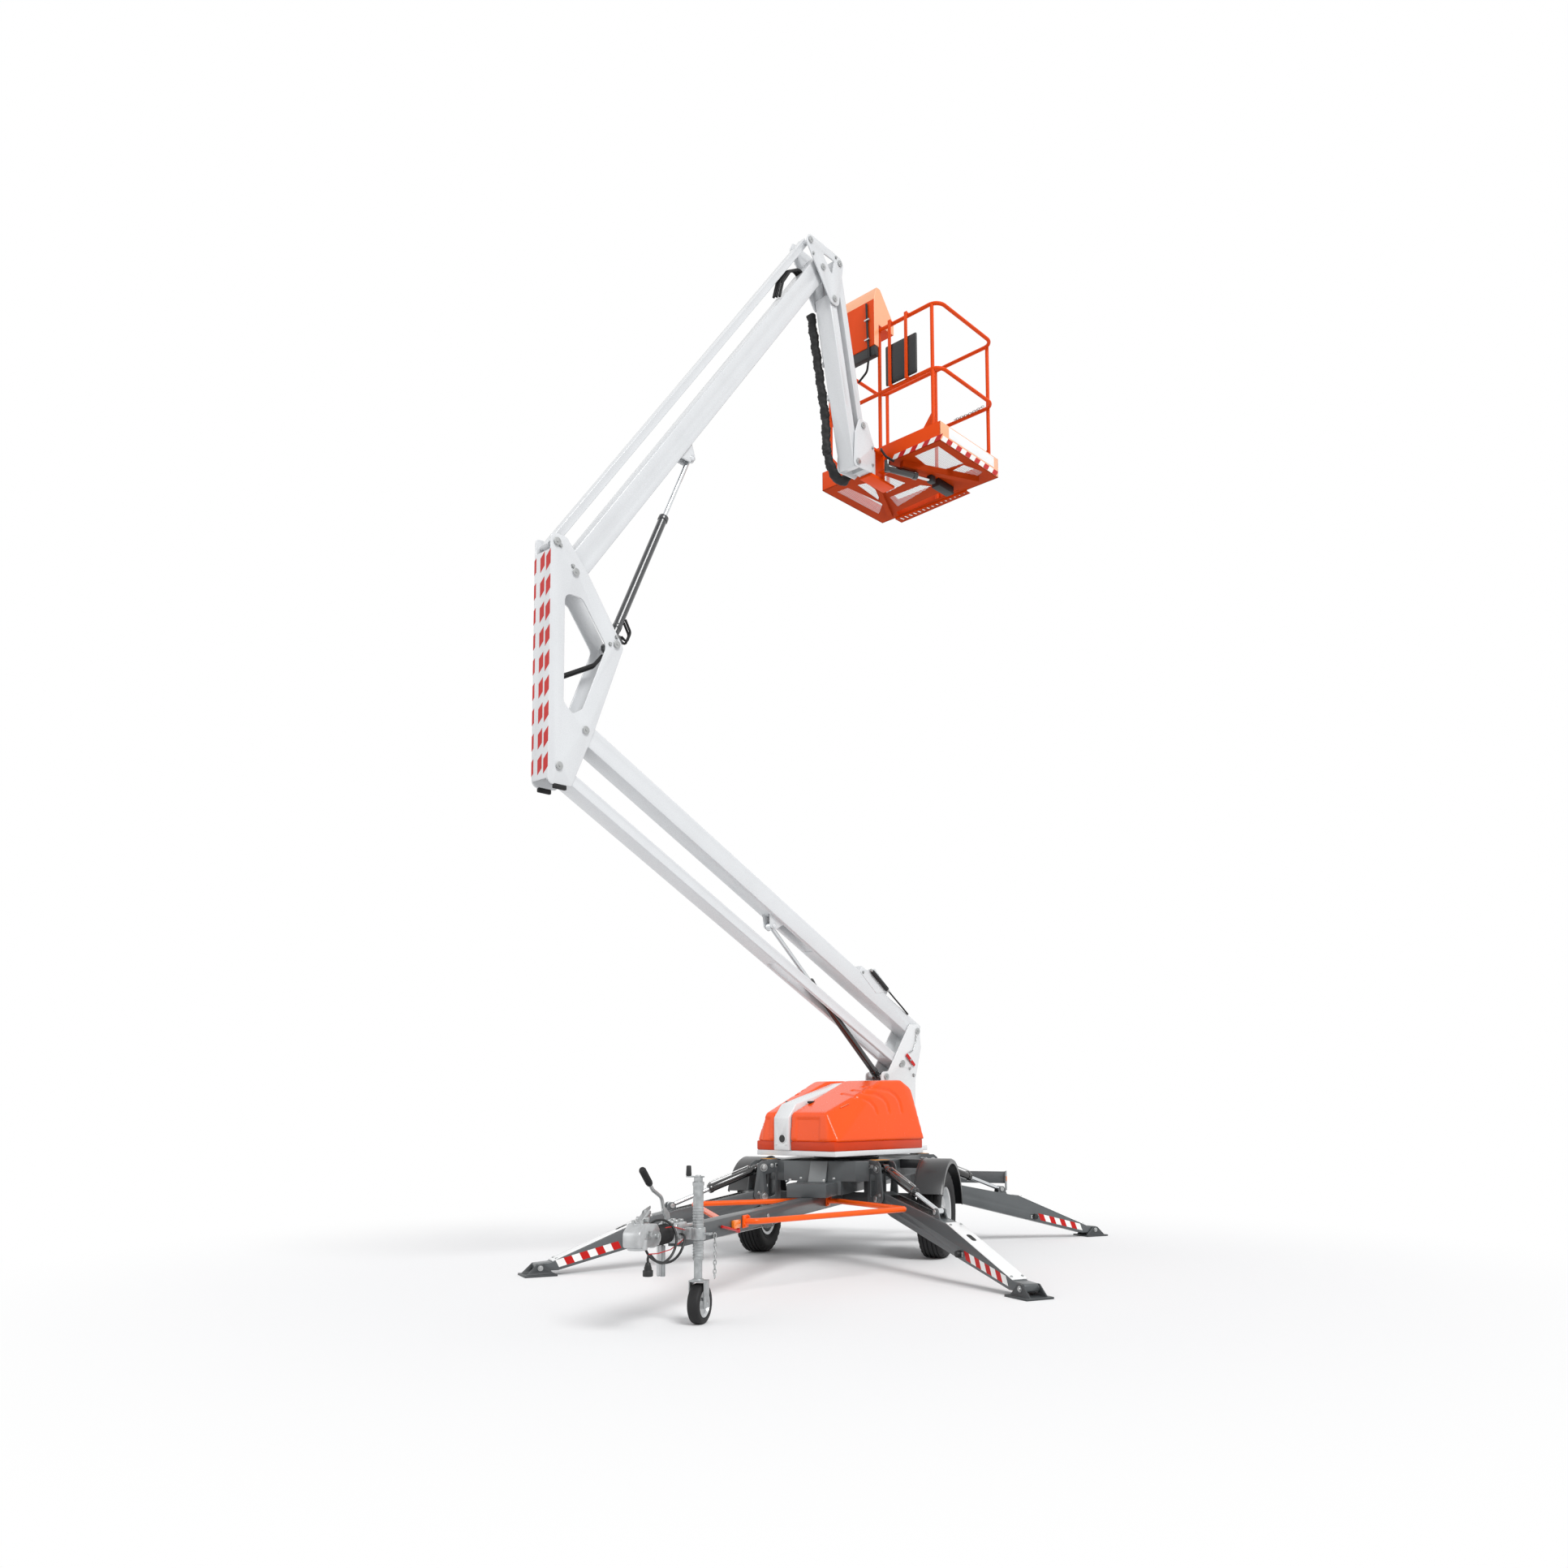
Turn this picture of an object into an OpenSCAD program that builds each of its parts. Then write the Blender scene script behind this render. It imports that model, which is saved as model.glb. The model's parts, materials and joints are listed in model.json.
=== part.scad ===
/* [Running gear] */
// Outer radius of a road tyre
tyre_r = 297; // [280:1:310]
// Width of a road tyre
tyre_w = 165; // [150:1:185]
// Radius of the steel rim
rim_r = 178; // [160:1:185]
// Distance between the middles of the two tyres
track = 1280; // [1240:5:1340]
// Radius of the outside of a mudguard
guard_r = 373; // [350:1:390]
// Width of a mudguard
guard_w = 200; // [180:5:230]
// Radius of the jockey wheel
jockey_r = 95; // [90:1:110]
// Sideways place of the jockey post
jockey_x = 119; // [110:1:130]
// Distance from the slewing centre forward to the jockey post
jockey_y = 2964; // [2900:1:3000]
// Distance from the slewing centre forward to the nose of the coupling
nose_reach = 3450; // [3400:5:3500]

/* [Chassis] */
// Height of the top of the main frame
frame_top = 668; // [640:1:680]
// Depth of the main frame box
frame_h = 130; // [110:1:150]
// Height of the top of the drawbar
drawbar_top = 450; // [440:1:460]
// Width of the drawbar
drawbar_w = 80; // [70:1:100]
// Depth of the drawbar
drawbar_h = 90; // [80:1:100]

/* [Outriggers] */
// Sideways distance of each foot from the middle
foot_x = 1490; // [1450:5:1550]
// Distance of each foot ahead of and behind the middle of the four feet
foot_y = 1705; // [1650:5:1750]
// How far the middle of the four feet lies behind the slewing centre
feet_mid = 50; // [0:5:80]
// Distance along the leg, seen from above, from its hinge to its foot
leg_reach = 1499; // [1450:1:1550]
// Width of a leg
leg_w = 96; // [80:1:110]
// Height of the hinge of a leg
hinge_z = 430; // [410:1:450]
// Height of the top pin of a jack
jack_z = 620; // [600:1:640]
// Length of a foot pad along the leg
pad_l = 200; // [180:5:220]
// Width of a foot pad
pad_w = 180; // [160:5:200]

/* [Booms] */
// Turn of the superstructure away from straight ahead
slew = -23.7; // [-24:0.1:-23]
// Width of the lower boom and its link
lower_w = 126; // [110:1:130]
// Depth of the lower boom
lower_h = 128; // [120:1:140]
// Width of the upper boom
upper_w = 100; // [80:1:120]
// Depth of the upper boom
upper_h = 148; // [120:1:160]
// Thickness of the side plates that hold the boom pins
plate_t = 10; // [8:1:12]
// Gap between a boom and a side plate
side_gap = 3; // [3:1:6]
// Width of the jib beams
jib_w = 140; // [120:1:150]

/* [Platform] */
// Length of the platform across the boom
deck_l = 1145; // [1100:5:1200]
// Width of the platform along the boom
deck_w = 769; // [700:1:800]
// Height of the underside of the platform
deck_z = 5892; // [5850:1:5950]
// Height of the top rail above the underside of the platform
rail_top = 1114; // [1100:1:1150]
// Radius of a rail tube
rail_r = 15; // [12:1:18]

/* [Hidden] */
$fn = 48;
place_y = (nose_reach - (feet_mid + foot_y + (pad_l + pad_w) / 2 / sqrt(2))) / 2;
axle_y = -26;
frame_bottom = frame_top - frame_h;
hinge_y = foot_y - leg_reach / sqrt(2);
hinge_x = foot_x - leg_reach / sqrt(2);
plate_in = lower_w / 2 + side_gap;
plate_out = plate_in + plate_t;
// Pins of the boom linkage in the plane of the booms, as [along, up]
lower_foot = [740, 1580];
lower_tip = [-2411, 3185];
lower_pair = [-185, -245];
upper_foot = [-2496, 4100];
upper_tip = [-296, 7088];
upper_pair = [-135, 140];
jib_foot = [-168, 6908];
jib_tip = [90, 5765];
jib_pair = [60, 300];
lower_eye = [-776, 2222];
lower_base = [360, 1235];
upper_eye = [-1539, 5175];
upper_base = [-2186, 3754];
swivel_y = 330;
deck_near = 448;
floor_h = 150;
head_in = jib_w / 2 + 4;
fit = 0.05;
jack_eye = [634, 392];
foot_pin_z = 50;
lead_r = 6;
// Route of the trailer lead from the coupling to its plug, in the machine frame
LEAD = [[48, -3030, 425], [70, -3032, 425], [90, -3060, 405], [84, -3095, 350], [45, -3100, 310],
  [-10, -3105, 300], [-66, -3110, 326], [-95, -3115, 390], [-80, -3120, 455], [-30, -3128, 496],
  [30, -3136, 496], [76, -3146, 460], [92, -3160, 405], [84, -3190, 350], [64, -3240, 318],
  [50, -3290, 330], [38, -3330, 362], [34, -3344, 350], [34, -3344, 330]];
// Corners of the four outriggers, as [name, side, end]
LEGS = [["fl", -1, -1], ["fr", 1, -1], ["rl", -1, 1], ["rr", 1, 1]];

// Corner of an outline rounded to radius r, from its two neighbours
function rounded(a, b, c, r) =
  let (u = (a - b) / norm(a - b), w = (c - b) / norm(c - b), half = acos(u * w) / 2,
    mid = b + (u + w) / norm(u + w) * r / sin(half), s = b + u * r / tan(half) - mid,
    e = b + w * r / tan(half) - mid, t = atan2(s.x * e.y - s.y * e.x, s * e))
  [for (i = [0:4]) let (k = t * i / 4) mid + [s.x * cos(k) - s.y * sin(k), s.x * sin(k) + s.y * cos(k)]];
// Outline from corners given as [along, up, radius]
function outline(pts) = [for (i = [0:len(pts) - 1])
  let (n = len(pts), a = pts[(i + n - 1) % n], b = pts[i], c = pts[(i + 1) % n])
  each (len(b) > 2 && b[2] > 0 ? rounded([a.x, a.y], [b.x, b.y], [c.x, c.y], b[2]) : [[b.x, b.y]])];

// Machine frame, with the slewing centre as origin on the ground
module machine() translate([0, place_y, 0]) children();
// Frame of the superstructure, turned with the booms
module upper() machine() rotate([0, 0, slew]) children();
// Plate of an outline in the plane of the booms, from x to x + t
module slab(pts, x, t) translate([x, 0, 0]) rotate([90, 0, 90]) linear_extrude(t) polygon(outline(pts));
// Pair of equal plates, one on each side of the plane of the booms
module plates(pts, x, t) for (s = [0, 1]) mirror([s, 0, 0]) slab(pts, x, t);
// Frame at point p with its length axis towards point q
module along(p, q) translate([0, p.x, p.y]) rotate([atan2(q.y - p.y, q.x - p.x), 0, 0]) children();
// Box section beam from p to q, w wide and h deep, past the points by a and b
module beam(p, q, w, h, a = 0, b = 0) along(p, q)
  translate([-w / 2, -a, -h / 2]) cube([w, norm(q - p) + a + b, h]);
// Round bar in the plane of the booms
module bar(p, q, r, a = 0, b = 0) along(p, q)
  translate([0, -a, 0]) rotate([-90, 0, 0]) cylinder(h = norm(q - p) + a + b, r = r);
// Cross pin at point p, from x0 to x1
module pin(p, x0, x1, r) translate([x0, p.x, p.y]) rotate([0, 90, 0]) cylinder(h = x1 - x0, r = r);
// Round bar between any two points
module strut(p, q, r) translate(p)
  rotate([0, acos((q - p).z / norm(q - p)), atan2((q - p).y, (q - p).x)]) cylinder(h = norm(q - p), r = r);
// Bent tube through points, round at each bend from number first on
module tube(pts, r, first = 1) {
  for (i = [0:len(pts) - 2]) strut(pts[i], pts[i + 1], r);
  for (i = [first:len(pts) - 2]) translate(pts[i]) sphere(r = r + 1, $fn = 24);
}
// Smooth curve through points, with n steps between each two
function route(p, n) = [for (i = [0:len(p) - 2], k = [0:n - 1])
  let (a = p[max(i - 1, 0)], b = p[i], c = p[i + 1], d = p[min(i + 2, len(p) - 1)], t = k / n)
  b + ((c - a) * t + (2 * a - 5 * b + 4 * c - d) * t ^ 2 + (3 * b - a - 3 * c + d) * t ^ 3) / 2,
  p[len(p) - 1]];
function unit(v) = v / norm(v);
// Tube of radius r swept along points, with its ends square to the directions from and to
module cord(p, r, from, to, sides = 10) {
  n = len(p);
  way = [from, for (i = [1:n - 2]) unit(p[i + 1] - p[i - 1]), to];
  first = unit(cross(from, [0.3, 0.5, 0.8]));
  side = [for (i = 0, v = first; i < n; i = i + 1, v = i < n ? unit(v - (v * way[i]) * way[i]) : v) v];
  points = [for (i = [0:n - 1], k = [0:sides - 1])
    let (u = cross(way[i], side[i]), a = 360 * k / sides) p[i] + r * (cos(a) * side[i] + sin(a) * u)];
  walls = [for (i = [0:n - 2], k = [0:sides - 1], half = [0, 1])
    let (a = i * sides + k, b = i * sides + (k + 1) % sides)
    half ? [b, a + sides, b + sides] : [a, a + sides, b]];
  ends = [[for (k = [0:sides - 1]) k], [for (k = [sides - 1:-1:0]) (n - 1) * sides + k]];
  polyhedron(points, concat(ends, walls), 4);
}
// Frame of an outrigger, out along its leg from its hinge
module leg_frame(side, end) machine()
  translate([side * hinge_x, feet_mid + end * hinge_y, 0]) rotate([0, 0, atan2(end, side)]) rotate([0, 0,
    -90]) children();

// Point e in the frame of the line from p to q, as [along, across]
function on_line(p, q, e) = let (u = (q - p) / norm(q - p)) [(e - p) * u, (e - p) * [-u.y, u.x]];

// Corner bracket of an outrigger, a pair of windowed plates with its pins
module leg_bracket() {
  gap = leg_w / 2 + 4;
  difference() {
    plates([[-125, 392, 10], [30, 386, 20], [72, 430, 25], [42, 645, 20], [10, frame_top, 10], [-125,
      frame_top, 0]], gap, 9);
    plates([[-85, 440, 10], [-35, 425, 10], [-15, 575, 10], [-85, 590, 10]], gap - 1, 11);
  }
  translate([-gap - 9, -125, frame_top]) cube([2 * gap + 18, 95, 7]);
  translate([-gap - 9, -125, 392]) cube([2 * gap + 18, 20, frame_top - 392]);
  pin([0, hinge_z], -gap - 22, gap + 22, 15);
  pin([0, jack_z], -gap - 20, gap + 20, 12);
}

module chassis_frame() color("#3c4043") {
  half_l = hinge_y + 45;
  cut = hinge_x + hinge_y - 141;
  half_w = 400;
  machine() translate([0, feet_mid, frame_bottom]) linear_extrude(frame_h)
    polygon([[cut - half_l, -half_l], [half_w, half_w - cut], [half_w, cut - half_w], [cut - half_l,
      half_l],
      [half_l - cut, half_l], [-half_w, cut - half_w], [-half_w, half_w - cut], [half_l - cut, -half_l]]);
  machine() translate([-150, feet_mid - half_l - 20, drawbar_top]) cube([300, 2 * half_l - 60,
    frame_bottom - drawbar_top]);
  machine() slab([[feet_mid - half_l, frame_bottom], [feet_mid - half_l - 62, frame_bottom],
    [feet_mid - half_l, frame_top - 4]], -60, 120);
  for (leg = LEGS) leg_frame(leg[1], leg[2]) leg_bracket();
}

module axle() color("#26282a") machine() {
  beam_y = axle_y - 175;
  translate([-500, beam_y - 32, 375]) cube([1000, 64, 64]);
  for (s = [0, 1]) mirror([s, 0, 0]) {
    translate([190, beam_y - 40, 439]) cube([50, 80, frame_bottom - 439]);
    slab([[beam_y - 45, 360, 20], [axle_y + 40, 255, 38], [axle_y + 38, 340, 38], [beam_y - 35, 452,
      20]], 500, 22);
    pin([axle_y, tyre_r], 520, track / 2 + 52, 20);
    pin([axle_y, tyre_r], 522, 556, 60);
  }
}

module drawbar() color("#3c4043") machine() {
  translate([-drawbar_w / 2, -2960, drawbar_top - drawbar_h]) cube([drawbar_w, 2720, drawbar_h]);
  slab([[-1680, 330, 10], [-1560, 330, 10], [-1530, 360], [-1710, 360]], -8, 16);
}

module drawbar_box() color("#3c4043") machine()
  translate([-130, -925, drawbar_top]) cube([260, 260, 85]);

module coupling() color("#9a9fa3") machine() {
  difference() {
    union() {
      slab([[-nose_reach, 400, 20], [-nose_reach, 470, 25], [-3390, 508, 25], [-3260, 495, 15], [-3235,
        470], [-3235, 396, 10]], -42, 84);
      translate([0, -3385, 388]) cylinder(h = 50, r = 46);
    }
    translate([0, -3385, 380]) cylinder(h = 62, r = 25.5);
  }
  slab([[-3400, 500, 6], [-3290, 560, 8], [-3262, 552, 8], [-3300, 492, 6]], -14, 28);
  bar([-3236, 432], [-3060, 432], 24);
  slab([[-3062, 385, 10], [-3062, 478, 20], [-2940, 478, 8], [-2920, 462], [-2850, 462], [-2850, 450],
    [-2960, 450], [-2960, 385]], -48, 96);
  slab([[-3050, 226, 10], [-3050, 400], [-2990, 400], [-2990, 226, 10]], -60, 14);
}

module bellows() color("#141414") machine() translate([0, -3234, 432]) rotate([-90, 0, 0]) rotate_extrude()
  polygon([[24 + fit, 0], for (i = [0:5]) each [[37, i * 28], [47, i * 28 + 14]], [37, 168], [24 + fit,
    168]]);

module handbrake() color("#8d9296") {
  machine() slab([[-3010, 478], [-2960, 478], [-2975, 520, 8], [-3148, 640, 4], [-3158, 624, 4], [-3020,
    520, 6]], -34, 10);
  machine() translate([-29, 0, 0]) bar([-3140, 624], [-3278, 742], 17);
}

module guards() color("#f4631a") machine() for (s = [-1, 1]) {
  strut([s * 55, -2130, 409], [s * 690, -1110, 409], 16);
  strut([s * 55, -600, 409], [s * 690, -1110, 409], 16);
  translate([s * 686, -1110, 392]) cylinder(h = 34, r = 20);
  translate([s > 0 ? 40 : -58, -2170, 375]) cube([18, 80, 68]);
  translate([s > 0 ? 40 : -58, -640, 375]) cube([18, 80, 68]);
}

module mudguards() color("#161718") machine() for (s = [0, 1]) mirror([s, 0, 0]) {
  translate([0, axle_y, tyre_r]) rotate([90, 0, 90]) {
    translate([0, 0, 555]) linear_extrude(guard_w) intersection() {
      difference() {
        circle(r = guard_r, $fn = 96);
        circle(r = guard_r - 6, $fn = 96);
      }
      polygon([[0, 0], [600, -40], [600, 600], [-600, 600], [-600, 260]]);
    }
  }
  translate([400, axle_y - 40, 600]) cube([170, 80, 66]);
}

module lamp_bar() color("#8a8d90") machine() {
  bar_y = 1290;
  translate([-900, bar_y, 425]) cube([1800, 30, 90]);
  for (s = [0, 1]) mirror([s, 0, 0]) {
    translate([900, bar_y - 20, 370]) cube([6, 70, 150]);
    translate([780, bar_y + 30, 432]) cube([105, 22, 70]);
    slab([[feet_mid + hinge_y + 45, 560], [feet_mid + hinge_y + 45, 640], [bar_y, 505], [bar_y, 435]],
      200, 60);
  }
}

module slew_ring() color("#101112") machine() translate([0, 0, frame_top]) difference() {
  union() {
    cylinder(h = 14, r = 228);
    cylinder(h = 31.7, r = 200);
  }
  translate([0, 0, -1]) cylinder(h = 40, r = 120);
}

module jockey_tube() color("#a4a8ab") machine() translate([jockey_x, -jockey_y, 0]) {
  difference() {
    translate([0, 0, 300]) cylinder(h = 360, r = 25);
    translate([0, 0, 299]) cylinder(h = 346, r = 20 + fit);
  }
  translate([0, 0, 660]) cylinder(h = 32, r = 19);
  translate([-8, 0, 692]) cube([76, 16, 8], center = false);
  translate([-58, -8, 690]) cube([60, 16, 8]);
  translate([-50, 0, 698]) cylinder(h = 48, r = 14);
  translate([-jockey_x + 48, -28, 400]) cube([jockey_x - 48 - 22, 56, 50]);
}

module jockey_leg() color("#a4a8ab") machine() translate([jockey_x, -jockey_y, 0]) {
  translate([0, 0, 214]) cylinder(h = 306, r = 20);
}

module jockey_fork() color("#8f9396") machine() translate([jockey_x, -jockey_y, 0]) {
  translate([0, 0, 205]) cylinder(h = 8.7, r = 26);
  for (s = [-1, 1]) translate([s * 38 - 3, -20, 75]) cube([6, 62, 130]);
  translate([-41, -22, 199]) cube([82, 66, 7]);
  translate([0, 20, 0]) pin([0, jockey_r], -44, 44, 8);
}

module jockey_wheel() color("#1b1c1d") machine() translate([jockey_x, -jockey_y + 20,
  jockey_r]) rotate([0, 90, 0])
  rotate_extrude($fn = 72) polygon([[8 + fit, -32], [22, -32], [26, -14], [60, -14], [66, -29], [88,
    -29], [jockey_r, -18],
    [jockey_r, 18], [88, 29], [66, 29], [60, 14], [26, 14], [22, 32], [8 + fit, 32]]);

// Tyre on its side of the machine
module tyre(side) color("#17181a") machine() translate([side * track / 2, axle_y, tyre_r]) rotate([0, 90,
  0])
  rotate_extrude($fn = 96) polygon([for (e = [-1, 1]) each [for (i = [0:5])
    let (k = e < 0 ? i : 5 - i, r = [rim_r + 1, 205, 250, 276, 290, tyre_r][k], w = [62, 78, 82.5, 80,
      72, 56][k])
    [r, e * w]]]);
// Rim and hub on its side of the machine
module rim(side) color("#b9bcbf") machine() translate([side * track / 2, axle_y, tyre_r]) rotate([0,
  side * 90, 0])
  difference() {
    rotate_extrude($fn = 96) polygon([[20 + fit, 8], [48, 8], [56, 20], [110, 26], [150, 8], [158, -62],
      [rim_r, -66], [rim_r, -58],
      [166, -50], [163, 50], [rim_r, 58], [rim_r, 66], [160, 62], [152, 26], [112, 40], [60, 36], [42,
        60], [20 + fit, 60]]);
    for (i = [0:7]) rotate([0, 0, i * 45]) translate([132, 0, -10]) cylinder(h = 80, r = 11);
  }

// Box leg of an outrigger, bent at the knee, with the lugs of its jack
module outrigger(side, end) color("#45494c") leg_frame(side, end) difference() {
  union() {
    difference() {
      slab([[-42, 398, 20], [-42, 466, 20], [20, 478, 10], [790, 333, 30], [1430, 82, 20],
        [1524, 76, 15], [1524, 32, 10], [1385, 30, 10], [140, 328, 10]], -leg_w / 2, leg_w);
      slab([[118, 520], [118, 424], [232, 420], [602, 362], [602, 520]], -34, 68);
      slab([[600, 520], [600, 362], [664, 352], [690, 400]], -23, 46);
    }
    plates([[598, 325], [612, 414, 20], [658, 414, 20], [700, 315]], 21, 9);
    for (s = [0, 1]) mirror([s, 0, 0]) pin(jack_eye, 29, 36, 14);
  }
  pin([0, hinge_z], -leg_w, leg_w, 15 + fit);
  pin([leg_reach, foot_pin_z], -leg_w, leg_w, 10 + fit);
}

module foot(side, end) color("#303335") leg_frame(side, end) {
  translate([-pad_w / 2, leg_reach - pad_l / 2, 0]) cube([pad_w, pad_l, 12]);
  plates([[leg_reach - 88, 12], [leg_reach + 88, 12], [leg_reach + 20, foot_pin_z + 24, 14],
    [leg_reach - 20, foot_pin_z + 24, 14]], leg_w / 2 + 4, 8);
  pin([leg_reach, foot_pin_z], -leg_w / 2 - 16, leg_w / 2 + 16, 10);
}

module jack(side, end) color("#0f1011") leg_frame(side, end) difference() {
  union() {
    bar([0, jack_z], jack_eye, 27, -20, -280);
    pin([0, jack_z], -20, 20, 30);
  }
  pin([0, jack_z], -30, 30, 12 + fit);
  bar([0, jack_z], jack_eye, 14 + fit, -40, 10);
}

module jack_rod(side, end) color("#c9ccce") leg_frame(side, end) {
  bar([0, jack_z], jack_eye, 14, -280, -15);
  pin(jack_eye, -19, 19, 22);
}

module turret() color("#eef0f0") upper() {
  translate([-240, -655, frame_top + 32]) cube([695, 940, 34]);
  translate([-150, 280, frame_top + 32]) cube([300, 470, 34]);
  difference() {
    plates([[285, frame_top + 66], [305, 1150, 20], [312, 1268, 30], [392, 1275, 20], [650, 1626, 25],
      [766, 1630, 25],
      [790, 1462, 15], [716, 1219, 15], [700, frame_top + 66]], plate_in, plate_t);
    for (p = [lower_foot, lower_foot + lower_pair, lower_base]) pin(p, -90, 90, 12);
  }
  translate([-plate_in, 655, frame_top + 66]) cube([2 * plate_in, 30, 500]);
  pin(lower_foot, -plate_out - 8, plate_out + 8, 20);
  pin(lower_foot + lower_pair, -plate_out - 6, plate_out + 6, 18);
  pin(lower_base, -plate_out - 6, plate_out + 6, 16);
}

module spine() color("#f2f3f3") upper() difference() {
  slab([[-676, frame_top + 66], [-676, 950, 30], [-600, 1040, 25], [-90, 1180, 25], [230, 1208, 15],
    [268, 1150, 10],
    [268, frame_top + 66]], -66, 132);
  translate([12, -660, 811]) rotate([90, 0, 0]) cylinder(h = 40, r = 27);
}

// Cover with its inner face at x = 69 and its outer face at x = far
module hood(far) {
  translate([72, -660, frame_top + 66]) cube([far - 84, 942, 60]);
  hull() {
    translate([0, 0, frame_top + 122]) linear_extrude(4) polygon([[69, -672], [far - 72, -672], [far,
      -640], [far, 296], [84, 296],
      [69, 275]]);
    for (p = [[-655, 975], [-640, 985], [-110, 1196], [100, 1200], [200, 1150], [215, 1120]])
      translate([69, p.x, p.y - 4]) cube([far - 69 - (p.x < -600 ? 90 : 50), 4, 4]);
  }
}
module hood_left() color("#f4631a") upper() mirror([1, 0, 0]) hood(250);
module hood_right() color("#f4631a") upper() hood(464);

module lower_boom() color("#eef0f0") upper() {
  eye = on_line(lower_foot, lower_tip, lower_eye);
  difference() {
    union() {
      difference() {
        beam(lower_foot, lower_tip, lower_w, lower_h, 45, 45);
        along(lower_foot, lower_tip) slab([[eye.x - 412, 80], [eye.x - 412, 56], [eye.x - 240, 18],
          [eye.x - 140, -10], [eye.x - 78, -44], [eye.x + 24, -44], [eye.x + 36, 80]], -30, 60);
      }
      along(lower_foot, lower_tip) plates([[eye.x - 75, lower_h / 2], [eye.x - 25, eye.y + 24, 15],
        [eye.x + 25, eye.y + 24, 15],
        [eye.x + 75, lower_h / 2]], 24, 9);
      along(lower_foot, lower_tip) translate([-lower_w / 2, 420, -lower_h / 2 - 46]) cube([lower_w, 340,
        46]);
      for (s = [0, 1]) mirror([s, 0, 0]) pin(lower_eye, 33, 39, 17);
    }
    pin(lower_foot, -90, 90, 20 + fit);
    pin(lower_tip, -90, 90, 20 + fit);
  }
}

module lower_link() color("#eef0f0") upper() {
  p = lower_foot + lower_pair;
  q = lower_tip + lower_pair;
  difference() {
    beam(p, q, lower_w, 72, 30, 36);
    pin(p, -90, 90, 18 + fit);
    pin(q, -90, 90, 18 + fit);
    along(p, q) translate([-37, 150, -60]) cube([74, 1320, 120]);
  }
}

module lower_barrel() color("#141516") upper() difference() {
  union() {
    bar(lower_base, lower_eye, 26, -10, -540);
    pin(lower_base, -30, 30, 28);
  }
  pin(lower_base, -40, 40, 16 + fit);
  bar(lower_base, lower_eye, 15 + fit, -60, 10);
}

module lower_rod() color("#c9ccce") upper() {
  bar(lower_base, lower_eye, 15, -380, -15);
  pin(lower_eye, -21, 21, 25);
}

module upright() color("#eef0f0") upper() {
  difference() {
    plates([[-2672, 2827, 40], [-2503, 2838, 20], [-2338, 3205, 30], [-2128, 3748, 36], [-2400, 4120,
      40], [-2560, 4292, 40],
      [-2672, 4292, 30]], plate_in, plate_t);
    plates([[-2566, 3960, 45], [-2440, 3960, 45], [-2258, 3722, 45], [-2432, 3306, 40], [-2500, 3262,
      20], [-2566, 3320, 40]],
      plate_in - 1, plate_t + 2);
  }
  translate([-plate_in, -2672, 2860]) cube([2 * plate_in, 8, 1330]);
  pin(lower_tip, -plate_out - 8, plate_out + 8, 20);
  pin(lower_tip + lower_pair, -plate_out - 6, plate_out + 6, 18);
  pin(upper_foot, -plate_out - 8, plate_out + 8, 20);
  pin(upper_foot + upper_pair, -plate_out - 6, plate_out + 6, 16);
  pin(upper_base, -plate_out - 6, plate_out + 6, 16);
}

module upper_boom() color("#eef0f0") upper() {
  eye = on_line(upper_foot, upper_tip, upper_eye);
  difference() {
    union() {
      difference() {
        beam(upper_foot, upper_tip, upper_w, upper_h, 55, 50);
        along(upper_foot, upper_tip) slab([[eye.x - 140, -90], [eye.x - 140, -66], [eye.x - 62, -48],
          [eye.x - 46, -34], [eye.x + 40, -34], [eye.x + 54, -90]], -30, 60);
      }
      along(upper_foot, upper_tip) plates([[eye.x - 110, -upper_h / 2 + 40], [eye.x - 25, eye.y - 24,
        15], [eye.x + 25, eye.y - 24, 15],
        [eye.x + 110, -upper_h / 2 + 40]], 26, 9);
      for (s = [0, 1]) mirror([s, 0, 0]) pin(upper_eye, 35, 41, 17);
    }
    pin(upper_foot, -90, 90, 20 + fit);
    pin(upper_tip, -90, 90, 18 + fit);
  }
}

module upper_link() color("#eef0f0") upper() difference() {
  beam(upper_foot + upper_pair, upper_tip + upper_pair, 60, 50, 28, 28);
  pin(upper_foot + upper_pair, -90, 90, 16 + fit);
  pin(upper_tip + upper_pair, -90, 90, 14 + fit);
}

module upper_barrel() color("#2a2c2e") upper() difference() {
  union() {
    bar(upper_base, upper_eye, 28, -10, -500);
    pin(upper_base, -30, 30, 31);
  }
  pin(upper_base, -40, 40, 16 + fit);
  bar(upper_base, upper_eye, 15 + fit, -60, 10);
}

module upper_rod() color("#c9ccce") upper() {
  bar(upper_base, upper_eye, 15, -505, -15);
  pin(upper_eye, -23, 23, 25);
}

module head() color("#eef0f0") upper() {
  difference() {
    plates([[-476, 7205, 30], [-440, 7275, 30], [-95, 7258, 35], [-62, 7215, 30], [-118, 6862, 40],
      [-205, 6868, 40], [-352, 7050, 30]],
      head_in, plate_t);
    plates([[-300, 7200, 12], [-165, 7200, 12], [-190, 7080, 12]], head_in - 1, plate_t + 2);
  }
  pin(upper_tip, -head_in - plate_t - 6, head_in + plate_t + 6, 18);
  pin(upper_tip + upper_pair, -head_in - plate_t - 6, head_in + plate_t + 6, 14);
  pin(jib_foot, -head_in - plate_t - 6, head_in + plate_t + 6, 16);
  pin(jib_foot + jib_pair, -head_in - plate_t - 6, head_in + plate_t + 6, 14);
}

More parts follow.
